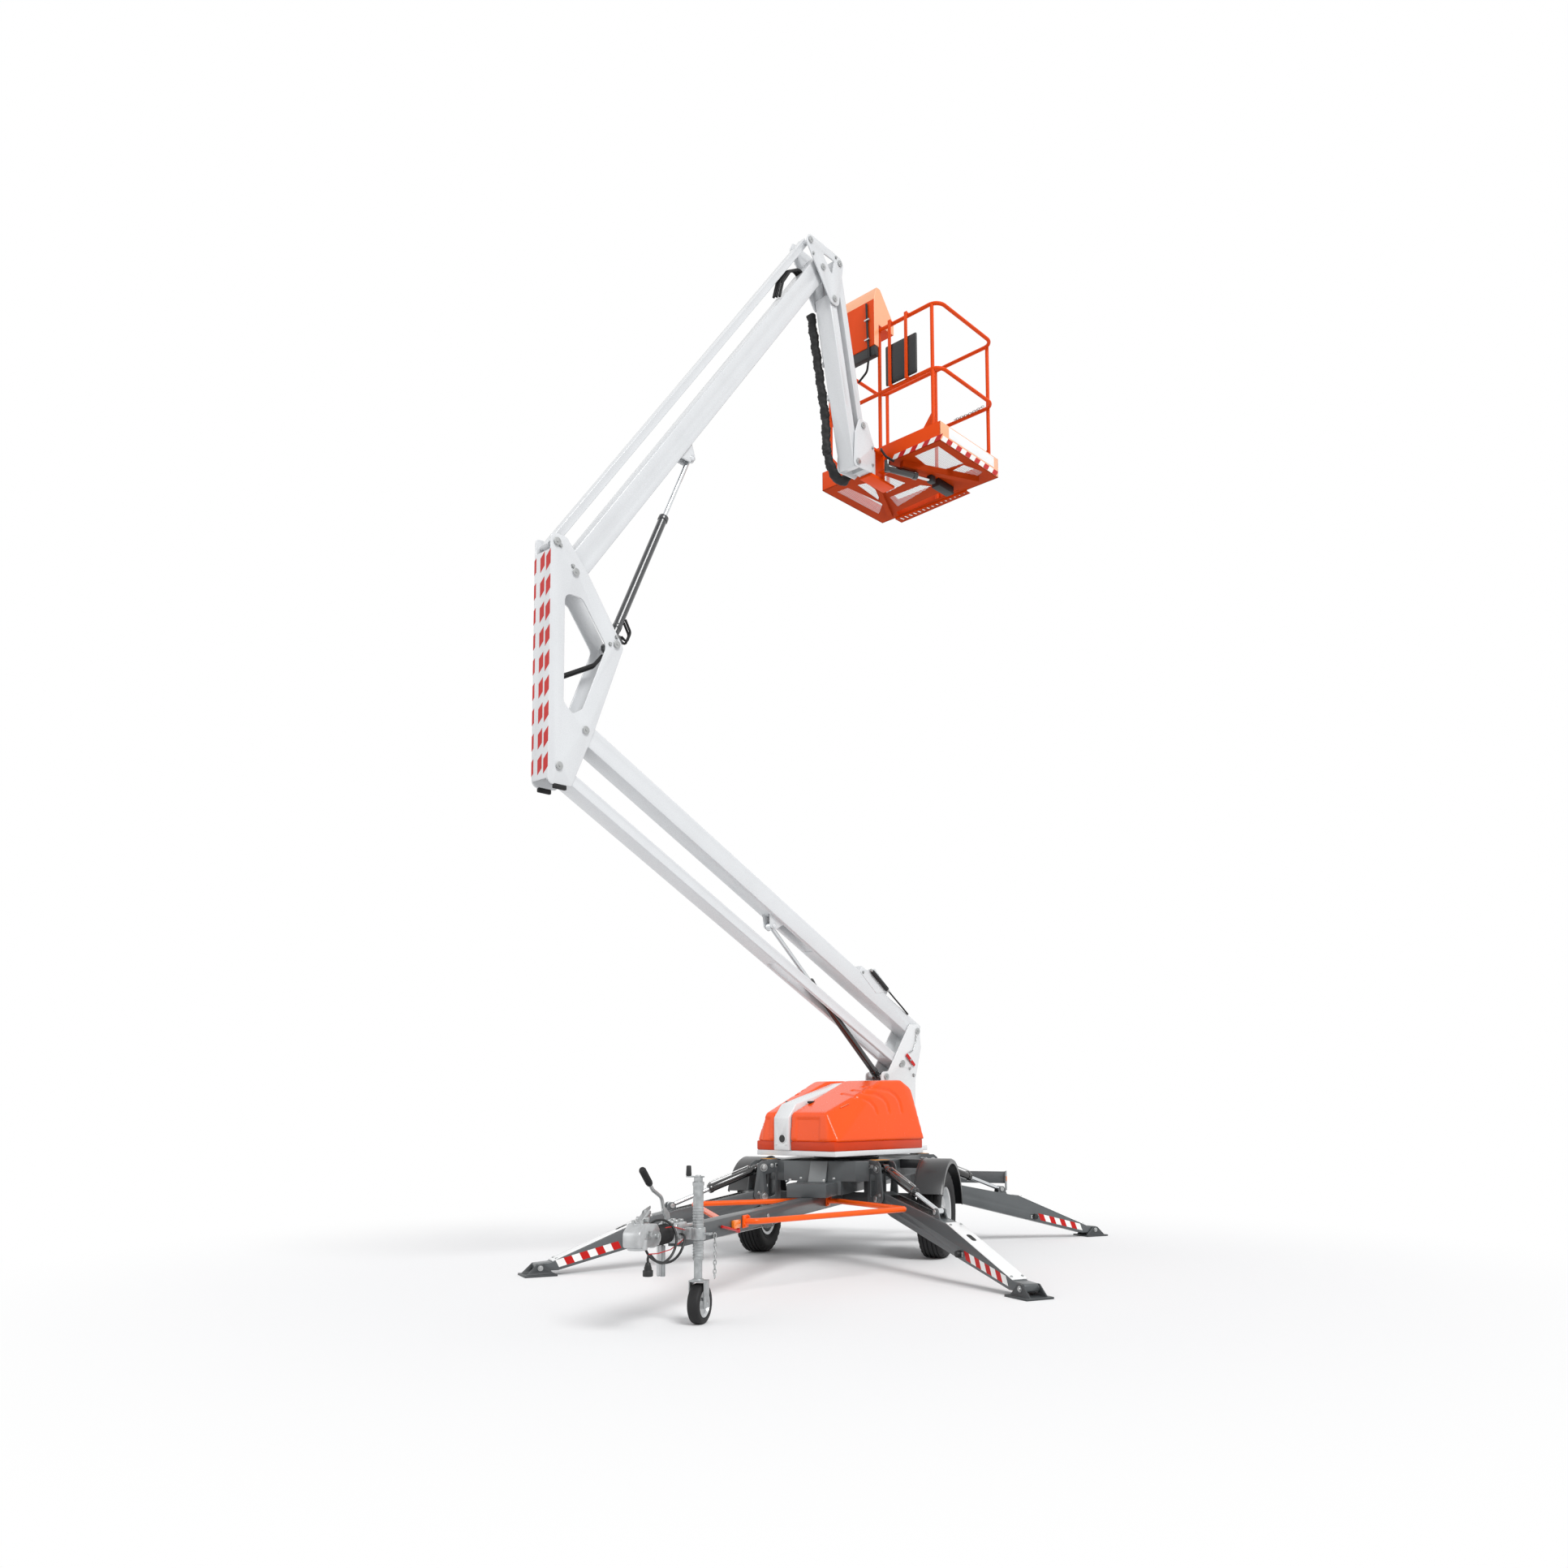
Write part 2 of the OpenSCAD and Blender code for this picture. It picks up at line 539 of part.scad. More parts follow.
module jib() color("#eef0f0") upper() {
  difference() {
    beam(jib_foot, jib_tip, jib_w, 76, 34, 34);
    pin(jib_foot, -90, 90, 16 + fit);
    pin(jib_tip, -90, 90, 16 + fit);
  }
  for (p = [[-108, 6480], [-60, 6240]]) translate([-91.7, p.x, p.y]) cube([22.7, 30, 40]);
}

module jib_link() color("#eef0f0") upper() difference() {
  beam(jib_foot + jib_pair, jib_tip + jib_pair, jib_w, 60, 28, 28);
  pin(jib_foot + jib_pair, -90, 90, 14 + fit);
  pin(jib_tip + jib_pair, -90, 90, 14 + fit);
}

module carrier() color("#eef0f0") upper() {
  plates([[46, 5722, 30], [250, 5740, 10], [285, 5780, 10], [285, 5960, 10], [205, 6110, 30], [110, 6110,
    30], [60, 5980, 10]],
    head_in, plate_t);
  translate([-head_in, 225, 5770]) cube([2 * head_in, 20, 190]);
  translate([-60, 240, 5765]) cube([120, 60, 190]);
  difference() {
    translate([0, swivel_y, 5765]) cylinder(h = 190, r = 45);
    translate([0, swivel_y, 5760]) cylinder(h = 200, r = 22 + fit);
  }
  pin(jib_tip, -head_in - plate_t - 6, head_in + plate_t + 6, 16);
  pin(jib_tip + jib_pair, -head_in - plate_t - 6, head_in + plate_t + 6, 14);
}

module swivel_bracket() color("#f4631a") upper() {
  translate([0, swivel_y, 5742]) cylinder(h = 236, r = 22);
  for (z = [5742, 5957]) translate([-55, swivel_y - 50, z]) cube([110,
    deck_near - swivel_y + 50 + (z < 5800 ? 120 : 0), 21]);
  translate([-55, deck_near - 14, 5742]) cube([110, 14, 236]);
  translate([40, deck_near - 60, 5806]) cube([105, 60, 12]);
}

// Beam under the floor from a to b, w wide and h deep
module strut_beam(a, b, w, h) translate([a.x, a.y, -h]) rotate([0, 0, atan2(b.y - a.y, b.x - a.x)])
  translate([0, -w / 2, 0]) cube([norm(b - a), w, h]);

module platform_floor() color("#f4631a") upper() translate([0, deck_near, deck_z]) {
  difference() {
    translate([-deck_l / 2, 0, 0]) cube([deck_l, deck_w, floor_h]);
    translate([-deck_l / 2 + 5, 5, 10]) cube([deck_l - 10, deck_w - 10, floor_h]);
  }
  strut_beam([170, 60], [455, 655], 50, 90);
  strut_beam([-110, 60], [-430, 700], 40, 30);
}

module platform_rails() color("#f4631a") upper() translate([0, deck_near, deck_z]) {
  b = 60;
  x = deck_l / 2 - rail_r;
  w = deck_w - rail_r;
  for (z = [rail_top - rail_r, 590])
    tube([[x - b, rail_r, z], [x, rail_r + b, z], [x, w - b, z], [x - b, w, z], [-x + b, w, z], [-x,
      w - b, z], [-x, rail_r + b, z],
      [-x + b, rail_r, z], [x - b, rail_r, z]], rail_r, 0);
  for (px = [b - x, 0, x - b], py = [rail_r + 5, w - 5])
    strut([px, py, 40], [px, py, rail_top - rail_r], rail_r);
}

module control_box() color("#f4631a") upper()
  slab([[395, 6690, 20], [395, 7330, 40], [462, 7330, 20], [462, 7016], [448, 7016], [448, 6690]], -330,
    340);

module pad() color("#1a1a1b") upper() translate([120, deck_near - 25.3, 6400]) cube([230, 25, 500]);

module hose_sleeve() color("#131313") upper()
  tube([[-126, -190, 6860], [-126, -30, 6120], [-126, -20, 5870], [-126, 60, 5716], [-126, 170, 5706],
    [-126, 230, 5780]], 34);

module trailer_lead() color("#141414") machine() cord(route(LEAD, 2), lead_r, [1, 0, 0], [0, 0, -1]);

module trailer_plug() color("#151515") machine() translate(LEAD[len(LEAD) - 1] - [0, 0, 62]) {
  cylinder(h = 30, r = 24);
  translate([0, 0, 30]) cylinder(h = 32, r1 = 20, r2 = 12);
}

// Drawing of each piece by name
chassis_frame();
axle();
drawbar();
drawbar_box();
coupling();
bellows();
handbrake();
guards();
mudguards();
lamp_bar();
slew_ring();
jockey_tube();
jockey_leg();
jockey_fork();
jockey_wheel();
tyre(-1);  // tyre_left
rim(-1);  // rim_left
tyre(1);  // tyre_right
rim(1);  // rim_right
for (leg = LEGS) {
  outrigger(leg[1], leg[2]);
  foot(leg[1], leg[2]);
  jack(leg[1], leg[2]);
  jack_rod(leg[1], leg[2]);
}
turret();
spine();
hood_left();
hood_right();
lower_boom();
lower_link();
lower_barrel();
lower_rod();
upright();
upper_boom();
upper_link();
upper_barrel();
upper_rod();
head();
jib();
jib_link();
carrier();
swivel_bracket();
platform_floor();
platform_rails();
control_box();
pad();
hose_sleeve();
trailer_lead();
trailer_plug();
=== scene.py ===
import json
import math

import bmesh
import bpy
from mathutils import Matrix, Vector

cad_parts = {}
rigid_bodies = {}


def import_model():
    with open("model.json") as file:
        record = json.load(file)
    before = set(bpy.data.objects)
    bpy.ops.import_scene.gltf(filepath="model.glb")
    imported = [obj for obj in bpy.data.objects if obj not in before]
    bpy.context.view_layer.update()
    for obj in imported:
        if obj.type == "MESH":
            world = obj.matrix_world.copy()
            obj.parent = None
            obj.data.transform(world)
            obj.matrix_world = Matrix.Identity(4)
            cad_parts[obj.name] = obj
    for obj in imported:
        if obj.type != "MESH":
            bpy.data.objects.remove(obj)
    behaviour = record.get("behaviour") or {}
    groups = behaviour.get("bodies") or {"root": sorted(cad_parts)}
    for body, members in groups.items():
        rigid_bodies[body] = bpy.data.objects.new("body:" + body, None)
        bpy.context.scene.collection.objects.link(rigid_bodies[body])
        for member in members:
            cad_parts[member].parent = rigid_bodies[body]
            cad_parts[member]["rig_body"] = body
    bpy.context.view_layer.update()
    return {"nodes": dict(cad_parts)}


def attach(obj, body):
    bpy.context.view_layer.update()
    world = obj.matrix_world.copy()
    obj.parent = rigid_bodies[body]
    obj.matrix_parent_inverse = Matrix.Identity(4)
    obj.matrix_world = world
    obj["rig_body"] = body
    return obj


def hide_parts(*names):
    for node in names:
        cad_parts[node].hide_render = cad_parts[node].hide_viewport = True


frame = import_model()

# Camera
# It stands low, ahead of the machine and to its right, and looks up along the booms. Its shift
# holds the photograph's framing, whose middle lies above the line of sight.
camera_spot = Vector((2.49701, -7.85988, 1.03523))
to_right = Vector((0.94675844, 0.32193025, -0.00306278))
to_top = Vector((0.03230537, -0.08553229, 0.99581152))
lens = bpy.data.cameras.new("camera")
lens.sensor_width = 36
lens.lens = 29.186
lens.shift_x = -0.0018
lens.shift_y = 0.1301
camera = bpy.data.objects.new("camera", lens)
turn = Matrix((to_right, to_top, to_right.cross(to_top))).transposed().to_4x4()
camera.matrix_world = Matrix.Translation(camera_spot) @ turn
bpy.context.scene.collection.objects.link(camera)
bpy.context.scene.camera = camera

# Studio
# A wide matt floor that fades into a white room, with one broad soft lamp from the right of the
# camera and a weaker one from its left.
view = bpy.context.scene.view_settings
view.view_transform = "Standard"
room = bpy.data.worlds.new("room")
room.use_nodes = True
bpy.context.scene.world = room
room_light = 0.52


def wire(tree, source, out, target, into):
    tree.links.new(source.outputs[out], target.inputs[into])


def add_node(tree, kind, values=None, **settings):
    made = tree.nodes.new(kind)
    for name, value in settings.items():
        setattr(made, name, value)
    for name, value in (values or {}).items():
        made.inputs[name].default_value = value
    return made


def seen_ray(tree):
    """1 for what the camera, a mirror or a glass shows, and 0 for what lights the object."""
    ray = add_node(tree, "ShaderNodeLightPath")
    either = add_node(tree, "ShaderNodeMath", operation="ADD", use_clamp=True)
    all_three = add_node(tree, "ShaderNodeMath", operation="ADD", use_clamp=True)
    wire(tree, ray, "Is Camera Ray", either, 0)
    wire(tree, ray, "Is Glossy Ray", either, 1)
    wire(tree, either, 0, all_three, 0)
    wire(tree, ray, "Is Transmission Ray", all_three, 1)
    return all_three


tree = room.node_tree
light = tree.nodes["Background"]
light.inputs["Color"].default_value = (0.98, 0.99, 1.0, 1)
light.inputs["Strength"].default_value = room_light
white = add_node(tree, "ShaderNodeBackground", {"Color": (1, 1, 1, 1), "Strength": 1.0})
pick = add_node(tree, "ShaderNodeMixShader")
wire(tree, seen_ray(tree), 0, pick, 0)
wire(tree, light, 0, pick, 1)
wire(tree, white, 0, pick, 2)
wire(tree, pick, 0, tree.nodes["World Output"], 0)

floor_paint = bpy.data.materials.new("studio_floor")
floor_paint.use_nodes = True
tree = floor_paint.node_tree
matt = tree.nodes["Principled BSDF"]
matt.inputs["Base Color"].default_value = (0.93, 0.93, 0.935, 1)
matt.inputs["Roughness"].default_value = 0.85
matt.inputs["Specular IOR Level"].default_value = 0.1
glow = add_node(tree, "ShaderNodeEmission", {"Color": (1, 1, 1, 1), "Strength": 1.0})
spot = add_node(tree, "ShaderNodeTexCoord")
reach = add_node(tree, "ShaderNodeVectorMath", operation="LENGTH")
fade = add_node(tree, "ShaderNodeMapRange", {"From Min": 2.2, "From Max": 5.5},
                interpolation_type="SMOOTHSTEP")
both = add_node(tree, "ShaderNodeMath", operation="MULTIPLY")
blend = add_node(tree, "ShaderNodeMixShader")
wire(tree, spot, "Object", reach, 0)
wire(tree, reach, "Value", fade, "Value")
wire(tree, fade, "Result", both, 0)
wire(tree, seen_ray(tree), 0, both, 1)
wire(tree, both, 0, blend, 0)
wire(tree, matt, 0, blend, 1)
wire(tree, glow, 0, blend, 2)
wire(tree, blend, 0, tree.nodes["Material Output"], 0)

bm = bmesh.new()
bmesh.ops.create_circle(bm, cap_ends=True, segments=96, radius=60)
ground = bpy.data.meshes.new("studio_floor")
bm.to_mesh(ground)
bm.free()
ground.materials.append(floor_paint)
floor = bpy.data.objects.new("studio_floor", ground)
bpy.context.scene.collection.objects.link(floor)

for name, strength, spread, aim in (("key", 2.0, 25, (-0.62, 0.5, -0.75)),
                                    ("fill", 0.55, 60, (0.75, 0.6, -0.35))):
    lamp = bpy.data.lights.new(name, "SUN")
    lamp.energy = strength
    lamp.angle = math.radians(spread)
    holder = bpy.data.objects.new(name, lamp)
    holder.rotation_mode = "QUATERNION"
    holder.rotation_quaternion = Vector(aim).to_track_quat("-Z", "Y")
    bpy.context.scene.collection.objects.link(holder)

# Trailer chassis
# A box frame of dark grey steel with a windowed bracket at each corner for its outrigger. It is
# folded and welded plate under satin paint, with round pins held by keepers.
slewing_centre = 0.780325
machine = Matrix.Translation((0, slewing_centre, 0))
leg_reach = 1.499
hinge_side = 1.490 - leg_reach / math.sqrt(2)
hinge_ahead = 1.705 - leg_reach / math.sqrt(2)
feet_mid = 0.050
corners = {"fl": (-1, -1), "fr": (1, -1), "rl": (-1, 1), "rr": (1, 1)}


def leg_frame(corner):
    """The frame of an outrigger: its origin under its hinge, and y out along the leg."""
    side, end = corners[corner]
    spin = Matrix.Rotation(math.atan2(end, side) - math.pi / 2, 4, "Z")
    return machine @ Matrix.Translation((side * hinge_side, feet_mid + end * hinge_ahead, 0)) @ spin


def tone(red, green, blue):
    """A colour from its values as a screen shows them, 0 to 255."""
    parts = [v / 255 for v in (red, green, blue)]
    return tuple(v / 12.92 if v < 0.04 else ((v + 0.055) / 1.055) ** 2.4 for v in parts) + (1,)


def finish(name, colour, roughness, metallic=0.0, coat=0.0, mottle=0.07, cloud=5.0, grain=260.0,
           dent=0.05, specular=0.5, streaks=(1, 1, 1)):
    """A surface with slow changes of tone, a finer change of gloss, and a fine grain."""
    skin = bpy.data.materials.new(name)
    skin.use_nodes = True
    skin.diffuse_color = colour
    tree = skin.node_tree
    shader = tree.nodes["Principled BSDF"]
    shader.inputs["Metallic"].default_value = metallic
    shader.inputs["Coat Weight"].default_value = coat
    shader.inputs["Coat Roughness"].default_value = 0.08
    shader.inputs["Specular IOR Level"].default_value = specular
    place = add_node(tree, "ShaderNodeTexCoord")
    stretch = add_node(tree, "ShaderNodeMapping", {"Scale": streaks})
    wire(tree, place, "Object", stretch, "Vector")
    clouds = add_node(tree, "ShaderNodeTexNoise", {"Scale": cloud, "Detail": 5.0})
    wire(tree, stretch, "Vector", clouds, "Vector")
    dark = tuple(v * (1 - mottle) for v in colour[:3]) + (1,)
    pale = tuple(min(1, v * (1 + mottle) + mottle * 0.02) for v in colour[:3]) + (1,)
    ramp = add_node(tree, "ShaderNodeValToRGB")
    ramp.color_ramp.elements[0].position = 0.3
    ramp.color_ramp.elements[0].color = dark
    ramp.color_ramp.elements[1].position = 0.7
    ramp.color_ramp.elements[1].color = pale
    wire(tree, clouds, 0, ramp, 0)
    wire(tree, ramp, 0, shader, "Base Color")
    grains = add_node(tree, "ShaderNodeTexNoise", {"Scale": grain, "Detail": 3.0})
    wire(tree, stretch, "Vector", grains, "Vector")
    gloss = add_node(tree, "ShaderNodeMapRange", {"To Min": max(0.02, roughness - 0.07),
                                                  "To Max": min(1, roughness + 0.07)})
    wire(tree, grains, 0, gloss, "Value")
    wire(tree, gloss, 0, shader, "Roughness")
    bump = add_node(tree, "ShaderNodeBump", {"Strength": dent, "Distance": 0.002})
    wire(tree, grains, 0, bump, "Height")
    wire(tree, bump, 0, shader, "Normal")
    return skin


def settle(bm, name, coats, body, base=None, replaces=(), sharp=35):
    """Turns a mesh in the making into a piece that rides on a body."""
    if base is not None:
        bmesh.ops.transform(bm, matrix=base, verts=bm.verts)
    bmesh.ops.recalc_face_normals(bm, faces=bm.faces)
    mesh = bpy.data.meshes.new(name)
    bm.to_mesh(mesh)
    bm.free()
    for coat in coats:
        mesh.materials.append(coat)
    mesh.shade_smooth()
    mesh.set_sharp_from_angle(angle=math.radians(sharp))
    piece = bpy.data.objects.new(name, mesh)
    bpy.context.scene.collection.objects.link(piece)
    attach(piece, body)
    if replaces:
        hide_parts(*replaces)
    return piece


def dressed(node, coat, edge=0.003, sharp=30):
    """The shape of a CAD node with its sharp edges rounded over, which stands for the node."""
    solid = frame["nodes"][node]
    bm = bmesh.new()
    bm.from_mesh(solid.data)
    bmesh.ops.remove_doubles(bm, verts=bm.verts, dist=0.00002)
    bmesh.ops.dissolve_limit(bm, angle_limit=math.radians(0.5), verts=bm.verts, edges=bm.edges)
    bent = [e for e in bm.edges if e.is_manifold and e.calc_face_angle(0) > math.radians(sharp)]
    bmesh.ops.bevel(bm, geom=bent, offset=edge, offset_type="OFFSET", segments=2, profile=0.5,
                    affect="EDGES", clamp_overlap=False, material=-1)
    return settle(bm, node + "_shell", [coat], solid["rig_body"], replaces=(node,))


def block(bm, low, high, edge=0.002, coat=0):
    """A box between two corners with rounded edges."""
    low, high = Vector(low), Vector(high)
    corners_made = bmesh.ops.create_cube(bm, size=1)["verts"]
    for face in {f for v in corners_made for f in v.link_faces}:
        face.material_index = coat
    bmesh.ops.scale(bm, vec=high - low, verts=corners_made)
    bmesh.ops.translate(bm, vec=(low + high) / 2, verts=corners_made)
    rims = list({e for v in corners_made for e in v.link_edges})
    if edge:
        bmesh.ops.bevel(bm, geom=rims, offset=edge, offset_type="OFFSET", segments=2, profile=0.5,
                        affect="EDGES", clamp_overlap=True, material=-1)


def rod(bm, start, end, radius, end_radius=None, sides=24, edge=0.0, coat=0):
    """A round bar or cone between two points, with its end rims rounded."""
    start, end = Vector(start), Vector(end)
    along = end - start
    spin = along.to_track_quat("Z", "Y").to_matrix().to_4x4()
    rim = bmesh.ops.create_cone(
        bm, cap_ends=True, segments=sides, radius1=radius,
        radius2=radius if end_radius is None else end_radius, depth=along.length,
        matrix=Matrix.Translation((start + end) / 2) @ spin)["verts"]
    faces = {f for v in rim for f in v.link_faces}
    for face in faces:
        face.material_index = coat
    if edge:
        ends = list({e for f in faces if len(f.verts) == sides for e in f.edges})
        bmesh.ops.bevel(bm, geom=ends, offset=edge, offset_type="OFFSET", segments=2, profile=0.5,
                        affect="EDGES", clamp_overlap=True, material=-1)


def cut_plate(bm, outline, near, far, edge=0.001, coat=0):
    """A flat plate across x from near to far. Its outline has (y, z, corner radius)."""
    points = [Vector((near, p[0], p[1])) for p in outline]
    posts = [bm.verts.new(p) for p in points]
    face = bm.faces.new(posts)
    for k, post in enumerate(posts):
        radius = outline[k][2] if len(outline[k]) > 2 else 0
        if radius:
            a = (points[k - 1] - points[k]).normalized()
            b = (points[(k + 1) % len(points)] - points[k]).normalized()
            reach = radius / math.tan(a.angle(b) / 2)
            bmesh.ops.bevel(bm, geom=[post], offset=reach, offset_type="OFFSET", segments=5,
                            profile=0.5, affect="VERTICES", clamp_overlap=True, material=-1)
            if not face.is_valid:
                bm.faces.ensure_lookup_table()
                face = bm.faces[-1]
    face.material_index = coat
    grown = bmesh.ops.extrude_face_region(bm, geom=[face])["geom"]
    lid = [g for g in grown if isinstance(g, bmesh.types.BMVert)]
    bmesh.ops.translate(bm, vec=(far - near, 0, 0), verts=lid)
    if edge:
        flats = [face] + [g for g in grown if isinstance(g, bmesh.types.BMFace)]
        rims = list({e for f in flats for e in f.edges})
        bmesh.ops.bevel(bm, geom=rims, offset=edge, offset_type="OFFSET", segments=1, profile=0.5,
                        affect="EDGES", clamp_overlap=True, material=-1)


def hexagon(bm, spot, way, across=0.024, height=0.010, coat=0):
    """A bolt head with its washer, standing on a face at spot and pointing along way."""
    spot, way = Vector(spot), Vector(way).normalized()
    rod(bm, spot - way * 0.001, spot + way * 0.0025, across * 0.72, sides=20, coat=coat)
    rod(bm, spot + way * 0.002, spot + way * height, across * 0.56, sides=6, edge=0.0012, coat=coat)


chassis_paint = finish("chassis_paint", tone(70, 74, 76), 0.42, coat=0.25)
nose_paint = finish("nose_paint", tone(118, 121, 122), 0.35, coat=0.3)
zinc = finish("zinc_plating", tone(176, 178, 178), 0.34, metallic=0.85, mottle=0.12, cloud=22.0)
label_yellow = finish("label_yellow", tone(232, 160, 34), 0.45)
soft_black = finish("black_trim", tone(24, 25, 26), 0.5)
dressed("chassis_frame", chassis_paint)

bracket_gap = 0.052
bracket_out = bracket_gap + 0.009
frame_top = 0.668
for corner in corners:
    bm = bmesh.new()
    for side in (-1, 1):
        for y, z, radius, reach in ((0, 0.430, 0.021, 0.0225), (0, 0.620, 0.018, 0.0205)):
            x = side * (bracket_gap + reach)
            rod(bm, (side * bracket_out, y, z), (side * (bracket_out + 0.003), y, z), radius + 0.008)
            rod(bm, (x, y, z), (x + side * 0.004, y, z), radius, edge=0.0015)
        hexagon(bm, (side * bracket_out, -0.060, 0.633), (side, 0, 0), 0.020)
        hexagon(bm, (side * bracket_out, 0.036, 0.455), (side, 0, 0), 0.016)
    settle(bm, "bracket_pins_" + corner, [zinc], "chassis", leg_frame(corner))
    bm = bmesh.new()
    block(bm, (-0.055, -0.100, frame_top + 0.007), (0.055, -0.030, frame_top + 0.0085), 0.0005)
    for side in (-1, 1):
        x = side * bracket_out
        block(bm, (x - 0.001, -0.113, 0.620), (x + 0.001, -0.085, 0.648), 0.0005, 1)
        block(bm, (x - 0.0015, -0.108, 0.625), (x + 0.0015, -0.090, 0.643), 0.0005, 2)
    settle(bm, "bracket_labels_" + corner, [label_yellow, zinc, soft_black], "chassis",
           leg_frame(corner))

front_face = feet_mid - hinge_ahead - 0.045
bm = bmesh.new()
cut_plate(bm, [(front_face - 0.002, frame_top - 0.002), (front_face - 0.066, frame_top - 0.132),
               (front_face - 0.062, frame_top - 0.134), (front_face + 0.002, frame_top - 0.004)],
          -0.058, 0.058, 0.0008)
settle(bm, "nose_plate", [nose_paint], "chassis", machine)

# Drawbar
# A square tube under the frame that carries the coupling, with a closed box on its top for the
# wiring. Both are painted as the frame is.
dressed("drawbar", chassis_paint)
dressed("drawbar_box", chassis_paint, 0.004)
bm = bmesh.new()
for side in (-1, 1):
    x = side * 0.009
    rod(bm, (x - 0.001, -1.590, 0.350), (x + 0.001, -1.590, 0.350), 0.011)
    rod(bm, (side * 0.040, -1.760, 0.405), (side * 0.047, -1.760, 0.405), 0.016, edge=0.002)
for x in (-0.112, 0.112):
    for y in (-0.905, -0.685):
        hexagon(bm, (x, y, 0.555), (0, 0, 1), 0.016)
settle(bm, "drawbar_fittings", [zinc], "chassis", machine)

# Axle
# A crosswise beam below the frame with a trailing arm at each end, which carries the stub axle
# and its round flange.
axle_paint = finish("axle_paint", tone(40, 42, 44), 0.5)
dressed("axle", axle_paint)

# Overrun coupling
# Galvanised cast head with its clamp and lever over the ball socket, the tube that slides into
# the cast housing on the drawbar, and the ribbed rubber bellows between them.
galvanised = finish("galvanised_steel", tone(168, 171, 172), 0.38, metallic=0.75, mottle=0.2,
                    cloud=34.0, grain=120.0, dent=0.2)
cast_zinc = finish("cast_zinc", tone(190, 192, 193), 0.32, metallic=0.8, mottle=0.15, cloud=18.0,
                   dent=0.12)
rubber = finish("black_rubber", tone(26, 26, 27), 0.62, grain=180.0, dent=0.15, specular=0.35)
dressed("coupling", cast_zinc, 0.004)
frame["nodes"]["bellows"].data.materials.clear()
frame["nodes"]["bellows"].data.materials.append(rubber)
coupling_z = 0.432
bm = bmesh.new()
for side in (-1, 1):
    hexagon(bm, (side * 0.042, -3.350, 0.455), (side, 0, 0), 0.024, 0.014)
    hexagon(bm, (side * 0.042, -3.270, 0.440), (side, 0, 0), 0.020, 0.012)
    hexagon(bm, (side * 0.048, -3.030, 0.415), (side, 0, 0), 0.022, 0.012)
    hexagon(bm, (side * 0.048, -2.975, 0.415), (side, 0, 0), 0.022, 0.012)
    rod(bm, (side * 0.020, -3.385, 0.494), (side * 0.020, -3.385, 0.520), 0.009)
rod(bm, (-0.030, -3.330, 0.520), (0.030, -3.330, 0.520), 0.012, edge=0.002)
cut_plate(bm, [(-3.330, 0.515, 0.008), (-3.300, 0.515, 0.006), (-3.215, 0.562, 0.008),
               (-3.222, 0.574, 0.006), (-3.310, 0.556, 0.02)], -0.012, 0.012, 0.002)
for k in range(3):
    y = -3.055 + 0.055 * k
    rod(bm, (-0.020, y, 0.478), (-0.020, y, 0.490), 0.013, edge=0.002)
    rod(bm, (0.020, y, 0.478), (0.020, y, 0.490), 0.013, edge=0.002)
rod(bm, (0, -3.062, coupling_z), (0, -3.074, coupling_z), 0.044, edge=0.003)
rod(bm, (0, -3.235, coupling_z), (0, -3.243, coupling_z), 0.050, edge=0.003)
settle(bm, "coupling_fittings", [zinc], "chassis", machine)

# Handbrake
# A flat galvanised arm beside the coupling that bends up into a round lever with a ribbed black
# grip, and its thin brake rod back to the axle.


def round_path(points, radius, steps=6):
    """A line through points with each inner corner turned into an arc of a radius."""
    points = [Vector(p) for p in points]
    made = [points[0]]
    for a, b, c in zip(points, points[1:], points[2:]):
        u, w = (a - b).normalized(), (c - b).normalized()
        half = u.angle(w) / 2
        if math.pi / 2 - half < 0.01:
            made.append(b)
            continue
        reach = min(radius / math.tan(half), (a - b).length * 0.49, (c - b).length * 0.49)
        inner = reach * math.tan(half)
        middle = b + (u + w).normalized() * (inner / math.sin(half))
        start, end = b + u * reach - middle, b + w * reach - middle
        for k in range(steps + 1):
            made.append(middle + start.lerp(end, k / steps).normalized() * start.length)
    return made + [points[-1]]


def pipes(name, paths, radius, coats, body, base=None, replaces=(), closed=False, sides=5):
    """Tubes of one radius along paths of points, closed at their ends."""
    curve = bpy.data.curves.new(name + "_line", "CURVE")
    curve.dimensions = "3D"
    curve.bevel_depth = radius
    curve.bevel_resolution = sides
    curve.use_fill_caps = True
    for path in paths:
        line = curve.splines.new("POLY")
        line.points.add(len(path) - 1)
        line.use_cyclic_u = closed
        for knot, point in zip(line.points, path):
            knot.co = (*point, 1)
    holder = bpy.data.objects.new(name + "_line", curve)
    bm = bmesh.new()
    bm.from_mesh(bpy.data.meshes.new_from_object(holder))
    bpy.data.objects.remove(holder)
    bmesh.ops.remove_doubles(bm, verts=bm.verts, dist=0.00001)
    return settle(bm, name, coats, body, base, replaces)


